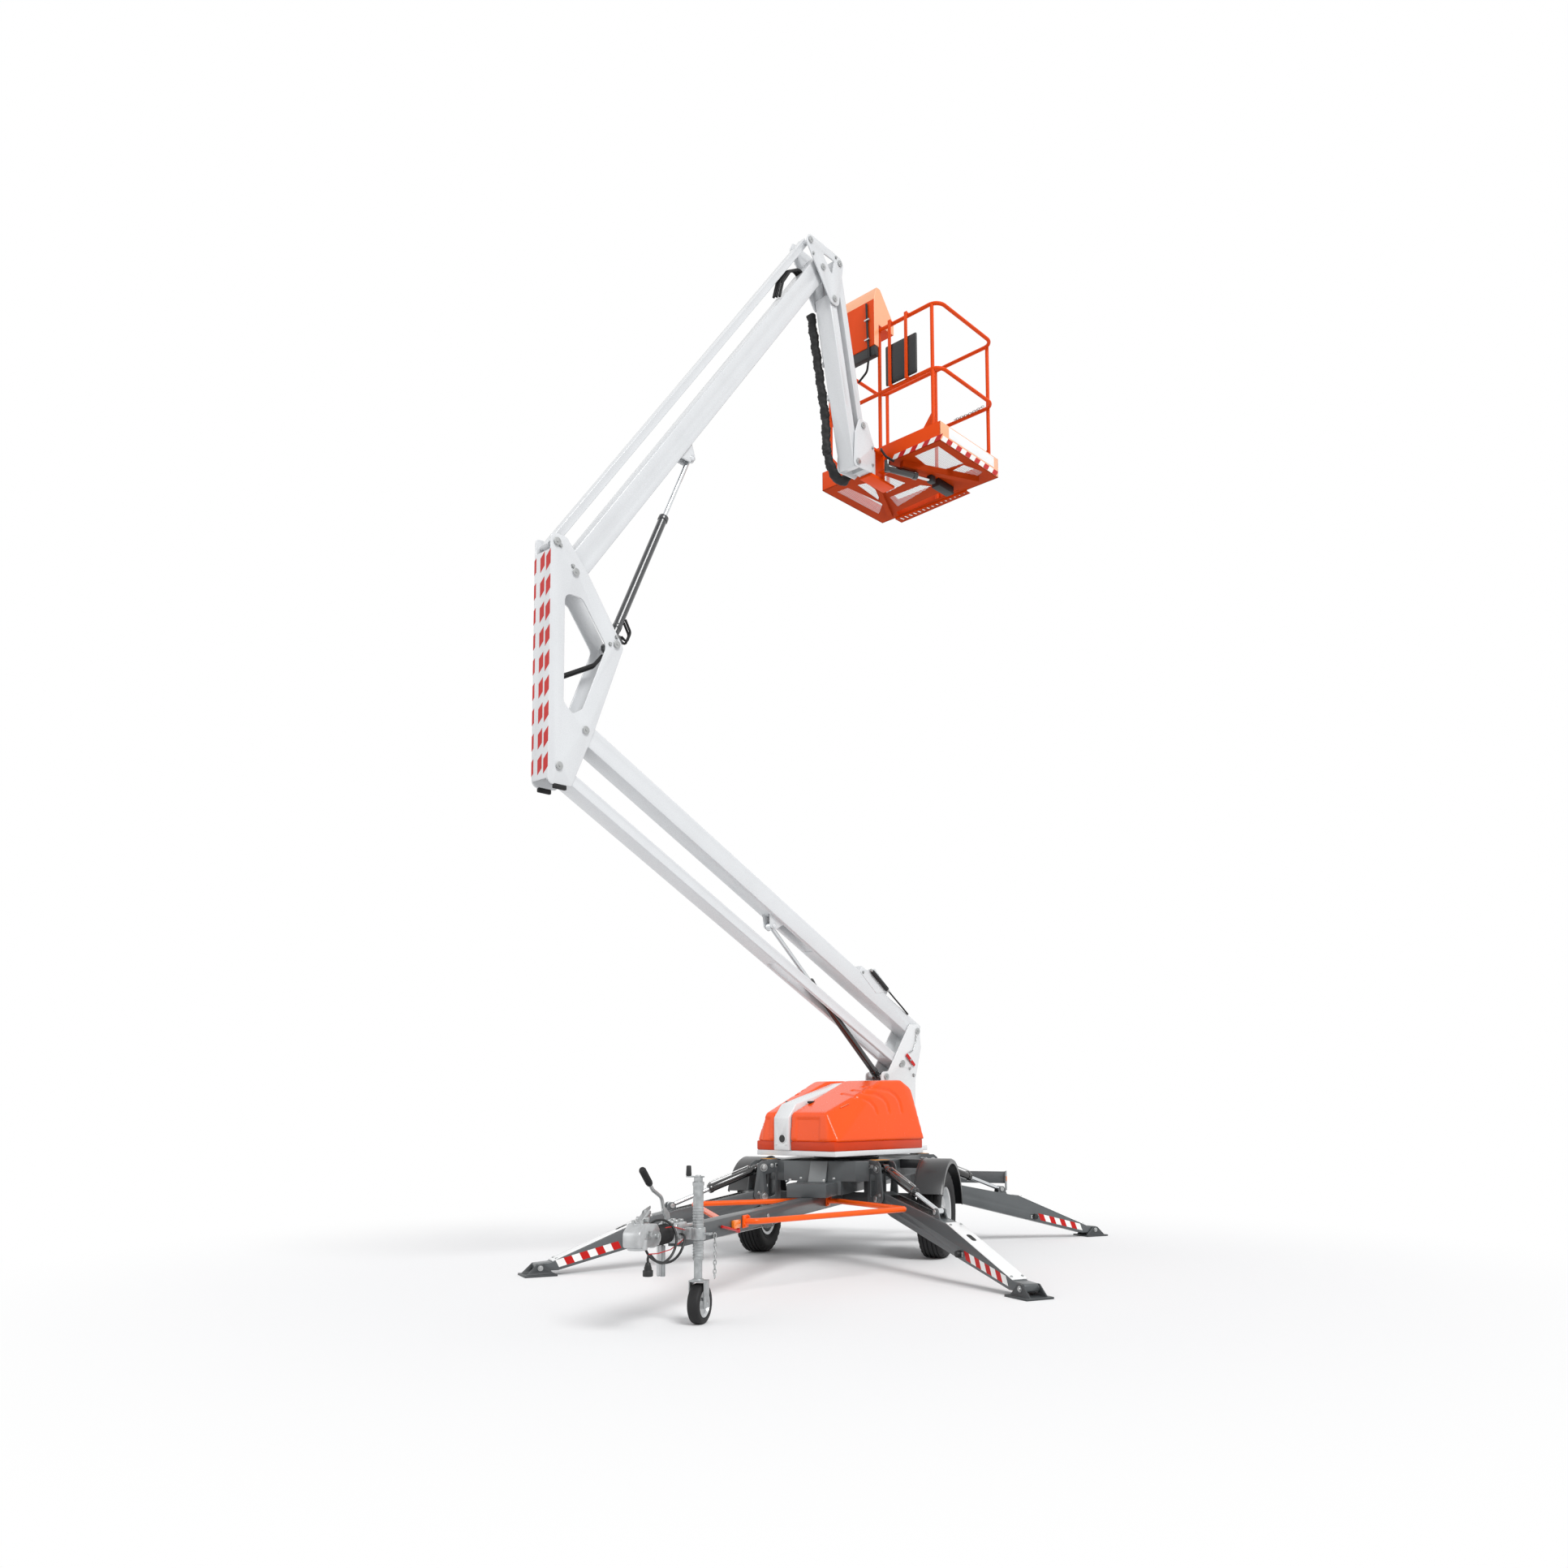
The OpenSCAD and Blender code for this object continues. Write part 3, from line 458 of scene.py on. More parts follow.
bm = bmesh.new()
cut_plate(bm, [(-3.010, 0.478, 0.006), (-2.960, 0.478, 0.006), (-2.972, 0.520, 0.01),
               (-3.030, 0.556, 0.02), (-3.058, 0.540, 0.01), (-3.020, 0.505, 0.01)],
          -0.034, -0.026, 0.001)
hexagon(bm, (-0.034, -2.985, 0.500), (-1, 0, 0), 0.020)
settle(bm, "handbrake_arm", [galvanised], "chassis", machine)
lever = round_path([(-0.030, -3.035, 0.536), (-0.030, -3.060, 0.600), (-0.030, -3.160, 0.640),
                    (-0.030, -3.200, 0.676)], 0.05)
pipes("handbrake_lever", [lever], 0.009, [zinc], "chassis", machine, ("handbrake",))
grip = [(-0.030, -3.190 - 0.0022 * k, 0.667 + 0.00185 * k) for k in range(42)]
bm = bmesh.new()
start, end = Vector(grip[0]), Vector(grip[-1])
rod(bm, start, end, 0.0155, edge=0.006)
for k in range(9):
    spot = start.lerp(end, 0.12 + k * 0.095)
    rod(bm, spot, spot + (end - start).normalized() * 0.005, 0.0172, sides=20, edge=0.0015)
settle(bm, "handbrake_grip", [rubber], "chassis", machine)
pipes("brake_rod", [[(-0.025, -2.940, 0.385), (-0.020, -2.300, 0.345), (-0.010, -1.590, 0.340),
                     (0.000, -0.240, 0.372)]], 0.004, [zinc], "chassis", machine)

# Side guards
# Two bent orange tubes that stand out from the drawbar in a point on each side, bolted to it by
# plates at both ends.
orange_gloss = finish("orange_paint", tone(246, 92, 4), 0.3, coat=0.2, mottle=0.05, specular=0.25)
runs = []
for side in (-1, 1):
    runs.append(round_path([(side * 0.040, -2.130, 0.409), (side * 0.105, -2.110, 0.409),
                            (side * 0.690, -1.110, 0.409), (side * 0.105, -0.600, 0.409),
                            (side * 0.040, -0.600, 0.409)], 0.045, 10))
pipes("side_guards", runs, 0.0165, [orange_gloss], "chassis", machine, ("guards",), sides=8)
bm = bmesh.new()
marker_amber = finish("marker_amber", tone(250, 128, 20), 0.25, coat=0.8)
for side in (-1, 1):
    for y in (-2.170, -0.640):
        block(bm, (side * 0.040, y, 0.375), (side * 0.050, y + 0.080, 0.443), 0.003)
        hexagon(bm, (side * 0.050, y + 0.012, 0.388), (side, 0, 0), 0.014)
        hexagon(bm, (side * 0.050, y + 0.068, 0.430), (side, 0, 0), 0.014)
    block(bm, (side * 0.040, -2.330, 0.385), (side * 0.062, -2.240, 0.430), 0.006, 1)
settle(bm, "guard_plates", [orange_gloss, marker_amber], "chassis", machine)

# Mudguards
# Pressed black plastic arcs over the wheels, with a lip turned down along their outer edge and
# a stay to the frame.
guard_plastic = finish("guard_plastic", tone(30, 31, 33), 0.33, coat=0.15, grain=320.0)
axle_y, tyre_r, guard_r = -0.026, 0.297, 0.372
bm = bmesh.new()
for side in (-1, 1):
    inner, outer = side * 0.556, side * 0.754
    section = [(inner, 0.006), (inner, 0.0), (inner + side * 0.03, 0.0), (outer - side * 0.012, 0.0),
               (outer, -0.008), (outer, -0.034), (outer - side * 0.005, -0.034),
               (outer - side * 0.005, -0.011), (outer - side * 0.014, -0.0055),
               (inner + side * 0.03, -0.0055), (inner + side * 0.006, -0.0055),
               (inner + side * 0.006, 0.006)]
    ring = [bm.verts.new((x, axle_y, tyre_r + guard_r + z - 0.002)) for x, z in section]
    face = bm.faces.new(ring)
    lead = math.radians(-84)
    sweep = math.radians(84 + 66)
    bmesh.ops.rotate(bm, cent=(0, axle_y, tyre_r), matrix=Matrix.Rotation(lead, 3, "X"), verts=ring)
    bmesh.ops.spin(bm, geom=[face], cent=(0, axle_y, tyre_r), axis=(1, 0, 0), dvec=(0, 0, 0),
                   angle=sweep, steps=64, use_duplicate=False)
    block(bm, (min(side * 0.400, side * 0.560), axle_y - 0.040, 0.600),
          (max(side * 0.400, side * 0.560), axle_y + 0.040, 0.660), 0.004)
settle(bm, "mudguard_arcs", [guard_plastic], "chassis", machine, ("mudguards",))

# Lamp bar
# A folded grey bar across the rear with a lamp box behind each end, amber reflectors on its end
# plates and red and clear lenses on its rear face.
lamp_grey = finish("lamp_bar_grey", tone(96, 99, 101), 0.4, coat=0.2)
lens_red = finish("lens_red", tone(190, 22, 18), 0.15, coat=0.9, mottle=0.03)
lens_amber = finish("lens_amber", tone(244, 132, 24), 0.15, coat=0.9, mottle=0.03)
lens_clear = finish("lens_clear", tone(232, 234, 236), 0.12, coat=0.9, mottle=0.03)
dressed("lamp_bar", lamp_grey)
bm = bmesh.new()
for side in (-1, 1):
    x = side * 0.906
    block(bm, (min(x, x + side * 0.006), 1.292, 0.440), (max(x, x + side * 0.006), 1.318, 0.480),
          0.002, 0)
    low, high = sorted((side * 0.786, side * 0.879))
    third = (high - low) / 3
    for k, coat in ((0, 1), (1, 0), (2, 2)):
        block(bm, (low + third * k + 0.002, 1.340, 0.438), (low + third * (k + 1) - 0.002, 1.351, 0.496),
              0.004, coat)
settle(bm, "rear_lamps", [lens_amber, lens_red, lens_clear], "chassis", machine)

# Slewing ring
# Two black machined rings between the frame and the turret, with a ring of bolts round the lower
# one.
ring_black = finish("slewing_ring_black", tone(22, 23, 24), 0.4, coat=0.2)
dressed("slew_ring", ring_black, 0.002)
bm = bmesh.new()
for k in range(24):
    a = math.radians(15 * k)
    hexagon(bm, (0.215 * math.cos(a), 0.215 * math.sin(a), frame_top + 0.014), (0, 0, 1), 0.014)
settle(bm, "slew_ring_bolts", [ring_black], "chassis", machine)

# Road wheels
# Radial tyres with four straight grooves and sipes across the shoulders, on eight-hole steel rims
# painted silver. Four wheel nuts and a grey cap stand over each hub.
track = 1.280
tread_rubber = finish("tyre_rubber", tone(30, 30, 31), 0.66, grain=150.0, dent=0.2, specular=0.3)
rim_silver = finish("rim_silver", tone(196, 198, 199), 0.3, metallic=0.35, coat=0.3, mottle=0.05)
rim_r = 0.178
half_tread = [(0, 0.2970), (0.011, 0.2970), (0.012, 0.2905), (0.018, 0.2905), (0.019, 0.2970),
              (0.037, 0.2966), (0.038, 0.2900), (0.044, 0.2900), (0.045, 0.2963), (0.058, 0.2945)]
half_wall = [(0.066, 0.2890), (0.074, 0.2800), (0.080, 0.2640), (0.082, 0.2500), (0.080, 0.2300),
             (0.075, 0.2080), (0.0735, 0.2040), (0.0755, 0.2030), (0.073, 0.1990), (0.066, 0.1830),
             (0.062, 0.1795)]
for name, side in (("left", -1), ("right", 1)):
    hub = Vector((side * track / 2, axle_y, tyre_r))
    right = half_tread[1:] + half_wall
    section = [(-x, r) for x, r in reversed(right)] + right
    bm = bmesh.new()
    knots = [bm.verts.new(hub + Vector((x, 0, r))) for x, r in section]
    belt = [bm.edges.new(pair) for pair in zip(knots, knots[1:] + knots[:1])]
    bmesh.ops.spin(bm, geom=knots + belt, cent=hub, axis=(1, 0, 0), dvec=(0, 0, 0),
                   angle=math.radians(360), steps=64, use_merge=True, use_duplicate=False)
    bmesh.ops.remove_doubles(bm, verts=bm.verts, dist=0.00001)
    shoulder = [f for f in bm.faces
                if 0.060 < abs(f.calc_center_median().x - hub.x) < 0.072
                and (f.calc_center_median() - hub).length > 0.27]
    ways = [math.atan2(f.calc_center_median().z - tyre_r, f.calc_center_median().y - axle_y)
            for f in shoulder]
    picked = [f for f, a in zip(shoulder, ways) if round(a / math.tau * 64 - 0.5) % 2 == 0]
    bmesh.ops.inset_individual(bm, faces=picked, thickness=0.0022, depth=-0.0035,
                               use_even_offset=True)
    settle(bm, "tyre_tread_" + name, [tread_rubber], "wheel_" + name, machine,
           ("tyre_" + name,), sharp=32)
    bm = bmesh.new()
    for k in range(4):
        a = math.radians(45 + 90 * k)
        spot = hub + Vector((side * 0.030, 0.050 * math.cos(a), 0.050 * math.sin(a)))
        rod(bm, spot, spot + Vector((side * 0.008, 0, 0)), 0.013, 0.010, sides=16)
        rod(bm, spot, spot + Vector((side * 0.022, 0, 0)), 0.0095, sides=6, edge=0.0015)
    rod(bm, hub + Vector((side * 0.048, 0, 0)), hub + Vector((side * 0.066, 0, 0)), 0.036, 0.031,
        edge=0.005, coat=1)
    valve = hub + Vector((side * 0.020, 0, 0.150))
    rod(bm, valve, valve + Vector((side * 0.030, 0, 0)), 0.004, sides=12, edge=0.001, coat=2)
    settle(bm, "wheel_nuts_" + name, [zinc, lamp_grey, rubber], "wheel_" + name, machine)
    rim_node = frame["nodes"]["rim_" + name].data
    rim_node.materials.clear()
    rim_node.materials.append(rim_silver)

# Jockey wheel
# A ribbed galvanised post in a clamp beside the coupling, wound up by a crank with a black knob.
# Its fork holds a solid black tyre on a pressed silver rim.
jockey = machine @ Matrix.Translation((0.119, -2.964, 0))
bm = bmesh.new()
profile = [(0.025, 0.300)]
for low in (0.305, 0.462):
    for k in range(7):
        z = low + 0.0135 * k
        profile += [(0.025, z), (0.0268, z + 0.002), (0.0268, z + 0.006), (0.025, z + 0.008)]
profile += [(0.025, 0.652), (0.028, 0.652), (0.028, 0.668), (0.021, 0.672), (0.021, 0.690), (0, 0.694)]
wall = [bm.verts.new((r, 0, z)) for r, z in profile]
line = [bm.edges.new(pair) for pair in zip(wall, wall[1:])]
bmesh.ops.spin(bm, geom=wall + line, cent=(0, 0, 0), axis=(0, 0, 1), dvec=(0, 0, 0),
               angle=math.radians(360), steps=40, use_merge=True, use_duplicate=False)
bmesh.ops.remove_doubles(bm, verts=bm.verts, dist=0.00001)
rim = [e for e in bm.edges if e.is_boundary]
bmesh.ops.extrude_edge_only(bm, edges=rim)
edge_ring = [v for v in bm.verts if v.is_boundary]
bmesh.ops.scale(bm, vec=(0.82, 0.82, 1), verts=edge_ring)
block(bm, (-0.071, -0.028, 0.398), (-0.020, 0.028, 0.452), 0.005)
rod(bm, (0, 0, 0.396), (0, 0, 0.454), 0.036, edge=0.004)
block(bm, (-0.062, -0.007, 0.690), (0.030, 0.007, 0.697), 0.002)
rod(bm, (0, 0, 0.688), (0, 0, 0.701), 0.013, edge=0.002)
rod(bm, (0.020, 0, 0.425), (0.066, 0, 0.425), 0.006, sides=16)
rod(bm, (0.062, -0.022, 0.425), (0.062, 0.022, 0.425), 0.005, sides=16)
settle(bm, "jockey_post", [galvanised], "chassis", jockey, ("jockey_tube",))
bm = bmesh.new()
rod(bm, (-0.050, 0, 0.697), (-0.050, 0, 0.746), 0.014, 0.0115, edge=0.004)
settle(bm, "jockey_knob", [soft_black], "chassis", jockey)
for node, coat in (("jockey_leg", galvanised), ("jockey_fork", None)):
    if coat:
        frame["nodes"][node].data.materials.clear()
        frame["nodes"][node].data.materials.append(coat)
dressed("jockey_fork", galvanised, 0.0015)
bm = bmesh.new()
axle_spot = Vector((0, 0.020, 0.095))
section = [(-0.018, 0.095), (0.018, 0.095), (0.025, 0.092), (0.029, 0.086), (0.029, 0.067),
           (0.015, 0.063), (-0.015, 0.063), (-0.029, 0.067), (-0.029, 0.086), (-0.025, 0.092)]
knots = [bm.verts.new(axle_spot + Vector((x, 0, r))) for x, r in section]
belt = [bm.edges.new(pair) for pair in zip(knots, knots[1:] + knots[:1])]
bmesh.ops.spin(bm, geom=knots + belt, cent=axle_spot, axis=(1, 0, 0), dvec=(0, 0, 0),
               angle=math.radians(360), steps=56, use_merge=True, use_duplicate=False)
section = [(0.010, 0.008), (0.032, 0.010), (0.032, 0.022), (0.014, 0.028), (0.014, 0.056),
           (0.026, 0.064), (-0.026, 0.064), (-0.014, 0.056), (-0.014, 0.028), (-0.032, 0.022),
           (-0.032, 0.010), (-0.010, 0.0085)]
knots = [bm.verts.new(axle_spot + Vector((x, 0, r))) for x, r in section]
belt = [bm.edges.new(pair) for pair in zip(knots, knots[1:] + knots[:1])]
made = bmesh.ops.spin(bm, geom=knots + belt, cent=axle_spot, axis=(1, 0, 0), dvec=(0, 0, 0),
                      angle=math.radians(360), steps=56, use_merge=True, use_duplicate=False)
bmesh.ops.remove_doubles(bm, verts=bm.verts, dist=0.00001)
for face in bm.faces:
    middle = face.calc_center_median() - axle_spot
    if math.hypot(middle.y, middle.z) < 0.0625:
        face.material_index = 1
settle(bm, "jockey_tyre", [rubber, rim_silver], "jockey_wheel", jockey, ("jockey_wheel",))

# Outriggers
# Four welded box legs, bent at the knee, with red and white tape along both sides. A thin white sheet with
# screws on their upper slope is a painted reflection of the bright sky on the dark grey paint. Each stands on
# a hinged foot and folds up with a jack.
leg_paint = finish("leg_paint", tone(78, 82, 84), 0.38, coat=0.35)
# A white used both for the painted reflection along the outrigger tops and for the plate on the platform's
# right toe board.
white_plate_and_painted_reflection = finish("white_plate_and_painted_reflection", tone(240, 241, 241), 0.3, coat=0.5, mottle=0.03)
tape_red = finish("tape_red", tone(188, 12, 6), 0.35, coat=0.1, mottle=0.04, specular=0.25)
tape_white = finish("tape_white", tone(238, 238, 236), 0.35, coat=0.4, mottle=0.03)
foot_paint = finish("foot_paint", tone(58, 61, 63), 0.45)
jack_black = finish("jack_black", tone(14, 14, 15), 0.16, coat=0.9, mottle=0.03)
chrome = finish("rod_chrome", tone(214, 217, 219), 0.09, metallic=1.0, mottle=0.03, dent=0.01)
leg_half = 0.048
knee, ankle = Vector((0.790, 0.333)), Vector((1.430, 0.082))
slope = (ankle - knee).normalized()
jack_top, jack_eye = Vector((0, 0.620)), Vector((0.634, 0.392))
jack_way = (jack_eye - jack_top).normalized()


def tape_run(bm, first, last, lower, upper, count, x_near, x_far, lean, at):
    """Slanted stripes in two coats along a flat face. at(along, up) gives a point on the face."""
    step = (last - first) / count
    for k in range(count):
        a, b = first + step * k, first + step * (k + 1)
        spots = [at(a, lower), at(b, lower), at(b + lean, upper), at(a + lean, upper)]
        posts = [bm.verts.new((x_near, p[0], p[1])) for p in spots]
        face = bm.faces.new(posts)
        face.material_index = k % 2
        made = bmesh.ops.extrude_face_region(bm, geom=[face])["geom"]
        bmesh.ops.translate(bm, vec=(x_far - x_near, 0, 0),
                            verts=[g for g in made if isinstance(g, bmesh.types.BMVert)])


def leg_side(along, up):
    return along, 0.328 - 0.23936 * (along - 0.14) + 0.028 + up


for corner in corners:
    base = leg_frame(corner)
    body = "outrigger_" + corner
    dressed("outrigger_" + corner, leg_paint, 0.004)
    bm = bmesh.new()
    # Painted reflection: this thin white sheet on the upper slope stands for the sky's glare on the dark grey
    # top face.
    tilt = math.atan2(slope.y, slope.x)
    block(bm, (-0.050, 0, 0), (0.050, 0.690, 0.005), 0.001)
    lean = Matrix.Translation((0, knee.x - 0.012, knee.y + 0.005)) @ Matrix.Rotation(tilt, 4, "X")
    bmesh.ops.transform(bm, matrix=lean, verts=bm.verts)
    settle(bm, "leg_plate_" + corner, [white_plate_and_painted_reflection], body, base)
    bm = bmesh.new()
    rod(bm, (0, -0.024, 0.0045), (0, -0.024, 0.0058), 0.016)
    rod(bm, (0, 0.024, 0.0045), (0, 0.024, 0.0058), 0.016)
    block(bm, (-0.016, -0.024, 0.0045), (0.016, 0.024, 0.0058), 0)
    bmesh.ops.translate(bm, vec=(0, 0.200, 0), verts=bm.verts)
    for y in (0.030, 0.660):
        for x in (-0.036, 0.036):
            hexagon(bm, (x, y, 0.005), (0, 0, 1), 0.012, 0.005, 1)
    bmesh.ops.transform(bm, matrix=lean, verts=bm.verts)
    settle(bm, "leg_plate_fittings_" + corner, [soft_black, zinc], body, base)
    bm = bmesh.new()
    for x in (-1, 1):
        tape_run(bm, 0.980, 1.380, -0.010, 0.038, 8, x * (leg_half - 0.0005), x * (leg_half + 0.0008),
                 -0.022 * x, leg_side)
    settle(bm, "leg_tape_" + corner, [tape_red, tape_white], body, base)
    bm = bmesh.new()
    for side in (-1, 1):
        rod(bm, (side * leg_half, 0, 0.430), (side * (leg_half + 0.003), 0, 0.430), 0.028)
        rod(bm, (side * 0.034, jack_eye.x, jack_eye.y), (side * 0.038, jack_eye.x, jack_eye.y),
            0.016, edge=0.0015)
        rod(bm, (side * leg_half, 1.499, 0.050), (side * (leg_half + 0.0035), 1.499, 0.050), 0.024)
    settle(bm, "leg_pins_" + corner, [zinc], body, base)
    bm = bmesh.new()
    block(bm, (leg_half, 0.885, 0.162), (leg_half + 0.006, 0.955, 0.187), 0.001, 1)
    rod(bm, (leg_half, 0.920, 0.175), (leg_half + 0.030, 0.920, 0.175), 0.022, 0.019, edge=0.004)
    settle(bm, "leg_lock_" + corner, [soft_black, zinc], body, base)
    dressed("foot_" + corner, foot_paint, 0.002)
    bm = bmesh.new()
    for side in (-1, 1):
        rod(bm, (side * 0.060, 1.499, 0.050), (side * 0.068, 1.499, 0.050), 0.012, edge=0.0015)
        rod(bm, (side * 0.060, 1.499, 0.050), (side * 0.0625, 1.499, 0.050), 0.017)
    settle(bm, "foot_pin_" + corner, [zinc], "foot_" + corner, base)
    dressed("jack_" + corner, jack_black, 0.002)
    jack_line = Matrix.Translation((0, jack_top.x, jack_top.y)) @ Matrix.Rotation(
        math.atan2(jack_way.y, jack_way.x), 4, "X")
    bm = bmesh.new()
    rod(bm, (0, 0.367, 0), (0, 0.391, 0), 0.031, edge=0.003)
    rod(bm, (0, 0.028, 0), (0, 0.052, 0), 0.030, edge=0.004)
    for y in (0.075, 0.375):
        rod(bm, (0, y - 0.008, 0.026), (0, y + 0.008, 0.026), 0.011, sides=16, edge=0.001)
    settle(bm, "jack_collar_" + corner, [jack_black], "jack_" + corner, base @ jack_line)
    pipe = round_path([(0, 0.075, 0.026), (0, 0.075, 0.040), (0, 0.375, 0.040), (0, 0.375, 0.026)], 0.008)
    pipes("jack_pipe_" + corner, [pipe], 0.004, [zinc], "jack_" + corner, base @ jack_line, sides=3)
    rod_node = frame["nodes"]["jack_rod_" + corner].data
    rod_node.materials.clear()
    rod_node.materials.append(chrome)

# Turret
# A white steel base on the slewing ring with two tall cheeks that hold the pins of the lower
# booms. A short chain, a red lever and a lifting ring hang on its right cheek.
upper = machine @ Matrix.Rotation(math.radians(-23.7), 4, "Z")
gloss_white = finish("white_paint", tone(222, 224, 225), 0.28, coat=0.3, mottle=0.02)
safety_red = finish("safety_red", tone(190, 10, 8), 0.35, coat=0.1, specular=0.25)
dressed("turret", gloss_white, 0.003)
lower_foot, lower_tip = Vector((0.740, 1.580)), Vector((-2.411, 3.185))
lower_pair = Vector((-0.185, -0.245))
lower_base = Vector((0.360, 1.235))
cheek_out = 0.076


def boom_line(start, end):
    """The frame of a line in the plane of the booms, with y along it and z square to it."""
    way = end - start
    return Matrix.Translation((0, start.x, start.y)) @ Matrix.Rotation(math.atan2(way.y, way.x), 4, "X")


def pin_ends(bm, spots, reach, radius, coat=0):
    """Keeper plates and bolts on both ends of the pins at spots, which reach out to x."""
    for spot in spots:
        for side in (-1, 1):
            x = side * reach
            rod(bm, (x, spot.x, spot.y), (x + side * 0.005, spot.x, spot.y), radius + 0.006,
                edge=0.0015, coat=coat)
            rod(bm, (x, spot.x, spot.y), (x + side * 0.009, spot.x, spot.y), radius * 0.45,
                sides=6, edge=0.001, coat=coat)


bm = bmesh.new()
pin_ends(bm, (lower_foot, lower_foot + lower_pair, lower_base), cheek_out + 0.006, 0.018)
hexagon(bm, (cheek_out, 0.530, 1.320), (1, 0, 0), 0.020)
hexagon(bm, (cheek_out, 0.690, 1.250), (1, 0, 0), 0.020)
rod(bm, (cheek_out, 0.640, 1.300), (cheek_out + 0.014, 0.640, 1.300), 0.010, edge=0.002)
settle(bm, "turret_pins", [zinc], "turret", upper)
bm = bmesh.new()
cut_plate(bm, [(0.584, 1.392, 0.008), (0.600, 1.412, 0.008), (0.700, 1.330, 0.008),
               (0.684, 1.312, 0.008)], cheek_out + 0.008, cheek_out + 0.014, 0.001)
rod(bm, (cheek_out, 0.640, 1.362), (cheek_out + 0.018, 0.640, 1.362), 0.009, edge=0.002, coat=1)
settle(bm, "turret_lever", [safety_red, zinc], "turret", upper)


def chain(name, points, body, base, coat, gauge=0.0016, pitch=0.014):
    """Welded oval links, each turned a quarter from the last, along a line of points."""
    points = [Vector(p) for p in points]
    spots, left = [], 0.0
    for a, b in zip(points, points[1:]):
        run = (b - a).length
        while left < run:
            spots.append((a.lerp(b, left / run), (b - a).normalized()))
            left += pitch
        left -= run
    links = []
    for k, (spot, way) in enumerate(spots):
        across = way.orthogonal().normalized()
        if k % 2:
            across = way.cross(across)
        links.append([spot + way * (pitch * 0.68 * math.cos(a)) + across * (pitch * 0.34 * math.sin(a))
                      for a in (math.tau * j / 10 for j in range(10))])
    return pipes(name, links, gauge, [coat], body, base, closed=True, sides=1)


chain("turret_chain", [(cheek_out + 0.006, 0.725, 1.585), (cheek_out + 0.008, 0.712, 1.500),
                       (cheek_out + 0.008, 0.670, 1.430), (cheek_out + 0.008, 0.622, 1.412)],
      "turret", upper, zinc)

# Spine
# The white steel ridge between the two covers, open at its front end with a round hole, with the
# white skirt below the covers.
dressed("spine", gloss_white, 0.006)
bm = bmesh.new()
rod(bm, (0.012, -0.676, 0.811), (0.012, -0.679, 0.811), 0.030)
rod(bm, (0.012, -0.6775, 0.811), (0.012, -0.680, 0.811), 0.0255, coat=1)
for x in (-0.045, 0.045):
    hexagon(bm, (x, -0.676, 0.775), (0, -1, 0), 0.012, 0.005)
settle(bm, "spine_hole", [gloss_white, soft_black], "turret", upper)

# Covers
# Two moulded orange covers over the machinery, wider at their base, with three bent ribs sunk in
# their outer slopes. A darker lip runs round below them and rubber latches hold them down.
hood_orange = finish("cover_orange", tone(246, 82, 2), 0.25, coat=0.25, mottle=0.03, grain=90.0,
                     specular=0.25)
lip_orange = finish("cover_lip_orange", tone(204, 56, 2), 0.35, coat=0.1, specular=0.25)
# A pale orange used only as painted light: glare on the right cover's top slope, the right toe board and the
# lit faces of the control box.
painted_light_pale = finish("pale_painted_light", tone(250, 176, 130), 0.3, coat=0.4, mottle=0.02)
rib_lines = (
    ((0.250, -0.338, 1.105), (0.390, -0.385, 1.089), (0.424, -0.360, 1.080), (0.428, -0.312, 1.073),
     (0.431, -0.259, 1.047), (0.435, -0.223, 1.016), (0.440, -0.209, 0.980)),
    ((0.291, -0.278, 1.129), (0.410, -0.310, 1.116), (0.423, -0.250, 1.107), (0.425, -0.192, 1.099),
     (0.428, -0.121, 1.073), (0.433, -0.085, 1.037), (0.439, -0.077, 0.985)),
    ((0.335, -0.221, 1.152), (0.410, -0.235, 1.146), (0.420, -0.130, 1.135), (0.422, -0.052, 1.126),
     (0.426, 0.019, 1.095), (0.431, 0.054, 1.047), (0.439, 0.064, 0.986)))


def beside(spot, line):
    """The distance of a spot from a bent line."""
    best = 9.0
    for a, b in zip(line, line[1:]):
        way = b - a
        t = max(0, min(1, (spot - a).dot(way) / way.length_squared))
        best = min(best, (spot - a - way * t).length)
    return best


